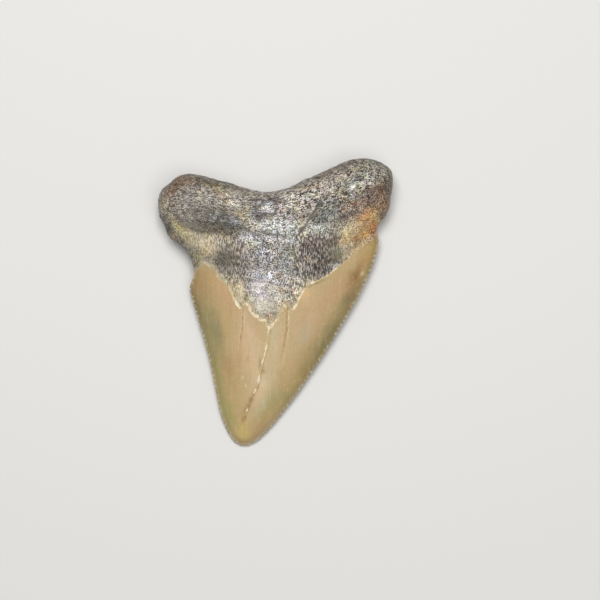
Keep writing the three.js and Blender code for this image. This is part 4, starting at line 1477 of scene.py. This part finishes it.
def root_finish(paint, colours):
    """Colour, roughness and height of the speckled root."""
    strength = paint.attribute("speckled")
    speckle, fibres, grains = root_speckle(paint, strength)
    clouds = {name: paint.noise(name) for name in ("warm clouds", "cool clouds")}
    tint = paint.mix(strength * DUST_SHARE, paint.attribute("root_tint", "Color"), colours.dust)
    tint = paint.layered(tint, clouds, ROOT_CLOUDS, strength, "MULTIPLY")

    pale = speckle.ramp(*PALE_GRAINS) * strength
    colour = paint.mix(pale, tint, PALE_FACTORS, "MULTIPLY")
    # Painted glints: painted highlights on the strongest pale grains
    lit = paint.mix(1.0, tint, GLINT_FACTORS, "MULTIPLY")
    lit = paint.mix(GLINT_TINT, colours.painted_glint, lit)
    glints = speckle.ramp(*GLINTS) * strength.ramp(*GLINTS_IN_GRAIN)
    colour = paint.mix(glints * GLINT_SHARE, colour, lit)
    colour = paint.mix(speckle.ramp(*DARK_GRAINS) * strength, colour, colours.speck_dark)
    roughness = ROOT_ROUGHNESS - grains.ramp(*POLISHED_GRAINS) * POLISH
    height = fibres * GRAIN_HEIGHT + grains * GRAIN_HEIGHT
    return colour, roughness, height


def edge_tones_and_painted_light(paint, colours, colour, mottle):
    """Adds the olive rim, which is partly painted shade, the painted highlight on the serrations
    and the painted shade in the nicks to the enamel's colour.
    """
    from_rim = paint.attribute("rim_distance")
    nick = paint.attribute("nick")
    # The painted highlight along the rim between the nicks, and the olive band, which is partly
    # painted shade
    mottled = RIM_HIGHLIGHT_LEAST + (1 - RIM_HIGHLIGHT_LEAST) * mottle.ramp(*RIM_HIGHLIGHT_MOTTLE)
    worn = from_rim.ramp(*RIM_HIGHLIGHT_BAND) * (nick.ramp(*RIM_HIGHLIGHT_BETWEEN_NICKS) * mottled)
    colour = paint.mix(from_rim.ramp(*OLIVE_BAND) * OLIVE_SHARE, colour, EDGE_OLIVE)
    colour = paint.mix(worn * RIM_HIGHLIGHT_SHARE, colour, colours.edge_tones_and_painted_light)
    # Painted shade in the nicks
    return paint.mix(nick.ramp(*BROWN_NICKS) * BROWN_NICK_SHARE, colour, NICK_BROWN)


def crown_finish(paint, colours):
    """Colour, roughness and height of the smooth enamel."""
    names = ("streaks", "clouds", "mottle", "hairs", "fine")
    patterns = {name: paint.noise(name) for name in names}
    colour = paint.attribute("crown_tint", "Color")
    colour = paint.layered(colour, patterns, BROAD_TINTS)
    colour = edge_tones_and_painted_light(paint, colours, colour, patterns["mottle"])
    colour = paint.layered(colour, patterns, THIN_TINTS)
    roughness = ENAMEL_ROUGHNESS + patterns["mottle"] * MOTTLED_ROUGHNESS
    height = patterns["streaks"] * STREAK_HEIGHT + patterns["mottle"] * MOTTLE_HEIGHT
    return colour, roughness, height


def main_crack(paint, colours, colour, wander, breaks):
    """The main crack: a thin cream line, brown lower down, with pale chips beside it."""
    side, share, under = paint.parts(paint.attribute("main_crack", "Vector"))
    side = side + wander
    seen = share.ramp(*CRACK_RUNS_OUT) * (1 - under)
    lower = share.ramp(*CRACK_LOWER_PART)
    chips = paint.attribute("chips")
    blotches = paint.noise("blotches")
    halo = abs(side).ramp(*HALO_BAND) * breaks.ramp(*HALO_BREAKS) * lower
    cream = line_at(side, 0, CREAM_WIDTH + blotches * CREAM_VARIETY, CREAM_FADE)
    brown_width = BROWN_WIDTH + blotches * BROWN_VARIETY
    brown = line_at(side, BROWN_OFFSET, brown_width, BROWN_FADE) * lower
    brown = brown * blotches.ramp(*BROWN_BLOTCHES)
    chip_width = chips * CHIP_WIDTH + blotches * CHIP_VARIETY
    pale = line_at(side, CHIP_OFFSET, chip_width, CHIP_FADE)
    colour = paint.mix(halo * seen * HALO_SHARE, colour, colours.crack_stain)
    colour = paint.mix(cream * seen * LINE_SHARE, colour, CREAM_LINE)
    colour = paint.mix(brown * seen * LINE_SHARE, colour, colours.crack_stain)
    return paint.mix(pale * seen * chips.ramp(*CHIPS_SEEN), colour, colours.broken_enamel)


def fine_cracks(paint, colours, colour, wander, breaks):
    """The two fine cracks: a broken brown line, with a pale one beside it near the margin."""
    side, share, under = paint.parts(paint.attribute("fine_crack", "Vector"))
    side = side + wander
    seen = (1 - under) * share.ramp(*FINE_RUNS_OUT)
    unbroken = breaks.ramp(*FINE_BREAKS) * (1 - FINE_LEAST) + FINE_LEAST
    brown = abs(side).ramp(*FINE_BAND) * unbroken * paint.noise("dots").ramp(*FINE_DOTS)
    pale = abs(side - FINE_PALE_OFFSET).ramp(*FINE_PALE_BAND)
    pale = pale * breaks.ramp(*FINE_PALE_BREAKS) * share.ramp(*FINE_PALE_PART)
    colour = paint.mix(brown * seen * FINE_SHARE, colour, FINE_BROWN)
    return paint.mix(pale * seen * FINE_PALE_SHARE, colour, colours.broken_enamel)


def cracked(paint, colours, colour):
    """Adds the lines of the cracks to the enamel's colour."""
    wander = paint.noise("bends") * CRACK_BENDS + paint.noise("jags") * CRACK_JAGS
    breaks = paint.noise("breaks")
    colour = main_crack(paint, colours, colour, wander, breaks)
    return fine_cracks(paint, colours, colour, wander, breaks)


def new_material(name):
    """A material without nodes."""
    material = bpy.data.materials.new(name)
    material.use_nodes = True
    material.node_tree.nodes.clear()
    return material


def fossil_material(colours):
    """Speckled root and satin enamel, parted along the jagged margin."""
    material = new_material("fossil_tooth")
    tree = material.node_tree
    paint = Paint(tree)
    root_colour, root_roughness, root_height = root_finish(paint, colours)
    crown_colour, crown_roughness, crown_height = crown_finish(paint, colours)
    crown_colour = cracked(paint, colours, crown_colour)

    margin = paint.attribute("margin") + paint.noise("ragged") * MARGIN_JAGS
    enamel = margin.ramp(*ENAMEL_EDGE)
    remains = (margin + paint.noise("remains") * REMAINS_WANDER).ramp(*REMAINS_BAND)
    remains = remains * (REMAINS_SHARE * (1 - paint.attribute("bare")))
    chips = paint.attribute("chips") * (paint.noise("crumbs") * CRUMB_VARIETY + CRUMB_MEAN)
    broken = line_at(margin, BROKEN_OFFSET, chips * BROKEN_WIDTH, BROKEN_FADE)
    broken = broken * chips.ramp(*BROKEN_SEEN)
    colour = paint.mix(remains, root_colour, colours.enamel_remains)
    colour = paint.mix(enamel, colour, crown_colour)
    colour = paint.mix(broken * BROKEN_SHARE, colour, colours.broken_enamel)

    roughness = paint.blend_numbers(enamel, root_roughness, crown_roughness)
    height = paint.blend_numbers(enamel, root_height, crown_height)
    relief = {"Strength": BUMP_STRENGTH, "Distance": BUMP_HEIGHT, "Height": height}
    bump = add_node(tree, "ShaderNodeBump", sockets=relief)
    surface = {"Base Color": colour, "Roughness": roughness, "Normal": bump, "IOR": REFRACTION}
    surface |= {"Coat Weight": enamel * ENAMEL_COAT, "Coat Roughness": COAT_ROUGHNESS}
    shader = add_node(tree, "ShaderNodeBsdfPrincipled", sockets=surface)
    add_node(tree, "ShaderNodeOutputMaterial", sockets={"Surface": shader})
    return material


def floor_material(colour):
    """Plain matt paper."""
    material = new_material("pale_floor")
    sockets = {"Base Color": (*colour, 1), "Roughness": FLOOR_ROUGHNESS}
    shader = add_node(material.node_tree, "ShaderNodeBsdfPrincipled", sockets=sockets)
    add_node(material.node_tree, "ShaderNodeOutputMaterial", sockets={"Surface": shader})
    return material


# The stage


def add_floor(colour):
    form = bmesh.new()
    bmesh.ops.create_grid(form, x_segments=1, y_segments=1, size=FLOOR_SIZE)
    floor = added_mesh("floor", form)
    floor.data.materials.append(floor_material(colour))


def add_light(name, place, size, power):
    """A square soft light that faces the middle of the tooth."""
    data = bpy.data.lights.new(name, "AREA")
    data.size = size
    data.energy = power
    light = added(name, data)
    light.location = place
    light.rotation_euler = (-Vector(place)).to_track_quat("-Z", "Y").to_euler()


def add_camera(settings):
    """Looks straight down, with the tooth left of the middle as in the photograph."""
    data = bpy.data.cameras.new("camera")
    data.lens = settings.lens
    data.sensor_width = data.sensor_height = CAMERA_SENSOR
    data.clip_start = NEAREST_SEEN
    camera = added("camera", data)
    distance = settings.view_height * settings.lens / data.sensor_width
    camera.location = (*CAMERA_PLACE, distance)
    bpy.context.scene.camera = camera


# Operators and panel


class FOSSIL_OT_tooth(bpy.types.Operator):
    """Model the tooth and give it its finish"""

    bl_idname = "fossil.tooth"
    bl_label = "Model the tooth"

    def execute(self, context):
        piece = model_tooth(context.scene.tooth_sizes)
        piece.data.materials.append(fossil_material(context.scene.tooth_colours))
        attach(piece, "root")
        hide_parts("tooth")
        return {"FINISHED"}


class FOSSIL_OT_stage(bpy.types.Operator):
    """Set up the floor, the lights and the camera"""

    bl_idname = "fossil.stage"
    bl_label = "Set the stage"

    def execute(self, context):
        settings = context.scene.stage_settings
        add_floor(settings.floor)
        add_light("key_light", KEY_PLACE, KEY_SIZE, settings.key_power)
        add_light("fill_light", FILL_PLACE, FILL_SIZE, settings.fill_power)
        add_camera(settings)
        world = bpy.data.worlds.new("soft_room")
        world.use_nodes = True
        background = world.node_tree.nodes["Background"]
        background.inputs["Color"].default_value = (1, 1, 1, 1)
        background.inputs["Strength"].default_value = ROOM_LIGHT
        context.scene.world = world
        context.scene.view_settings.view_transform = "Standard"
        return {"FINISHED"}


class FOSSIL_PT_panel(bpy.types.Panel):
    """Lists the tooth's settings and the operators that use them"""

    bl_idname = "FOSSIL_PT_panel"
    bl_label = "Fossil tooth"
    bl_space_type = "VIEW_3D"
    bl_region_type = "UI"
    bl_category = "Fossil tooth"

    def draw(self, context):
        scene = context.scene
        for settings in (scene.tooth_sizes, scene.tooth_colours, scene.stage_settings):
            box = self.layout.box()
            for name in settings.__annotations__:
                box.prop(settings, name)
        self.layout.operator("fossil.tooth")
        self.layout.operator("fossil.stage")


CLASSES = (
    ToothSizes,
    ToothColours,
    StageSettings,
    FOSSIL_OT_tooth,
    FOSSIL_OT_stage,
    FOSSIL_PT_panel,
)


def register():
    for item in CLASSES:
        bpy.utils.register_class(item)
    bpy.types.Scene.tooth_sizes = bpy.props.PointerProperty(type=ToothSizes)
    bpy.types.Scene.tooth_colours = bpy.props.PointerProperty(type=ToothColours)
    bpy.types.Scene.stage_settings = bpy.props.PointerProperty(type=StageSettings)


def unregister():
    del bpy.types.Scene.tooth_sizes
    del bpy.types.Scene.tooth_colours
    del bpy.types.Scene.stage_settings
    for item in reversed(CLASSES):
        bpy.utils.unregister_class(item)


def main():
    register()
    bpy.ops.fossil.tooth()
    bpy.ops.fossil.stage()


if __name__ == "__main__":
    main()
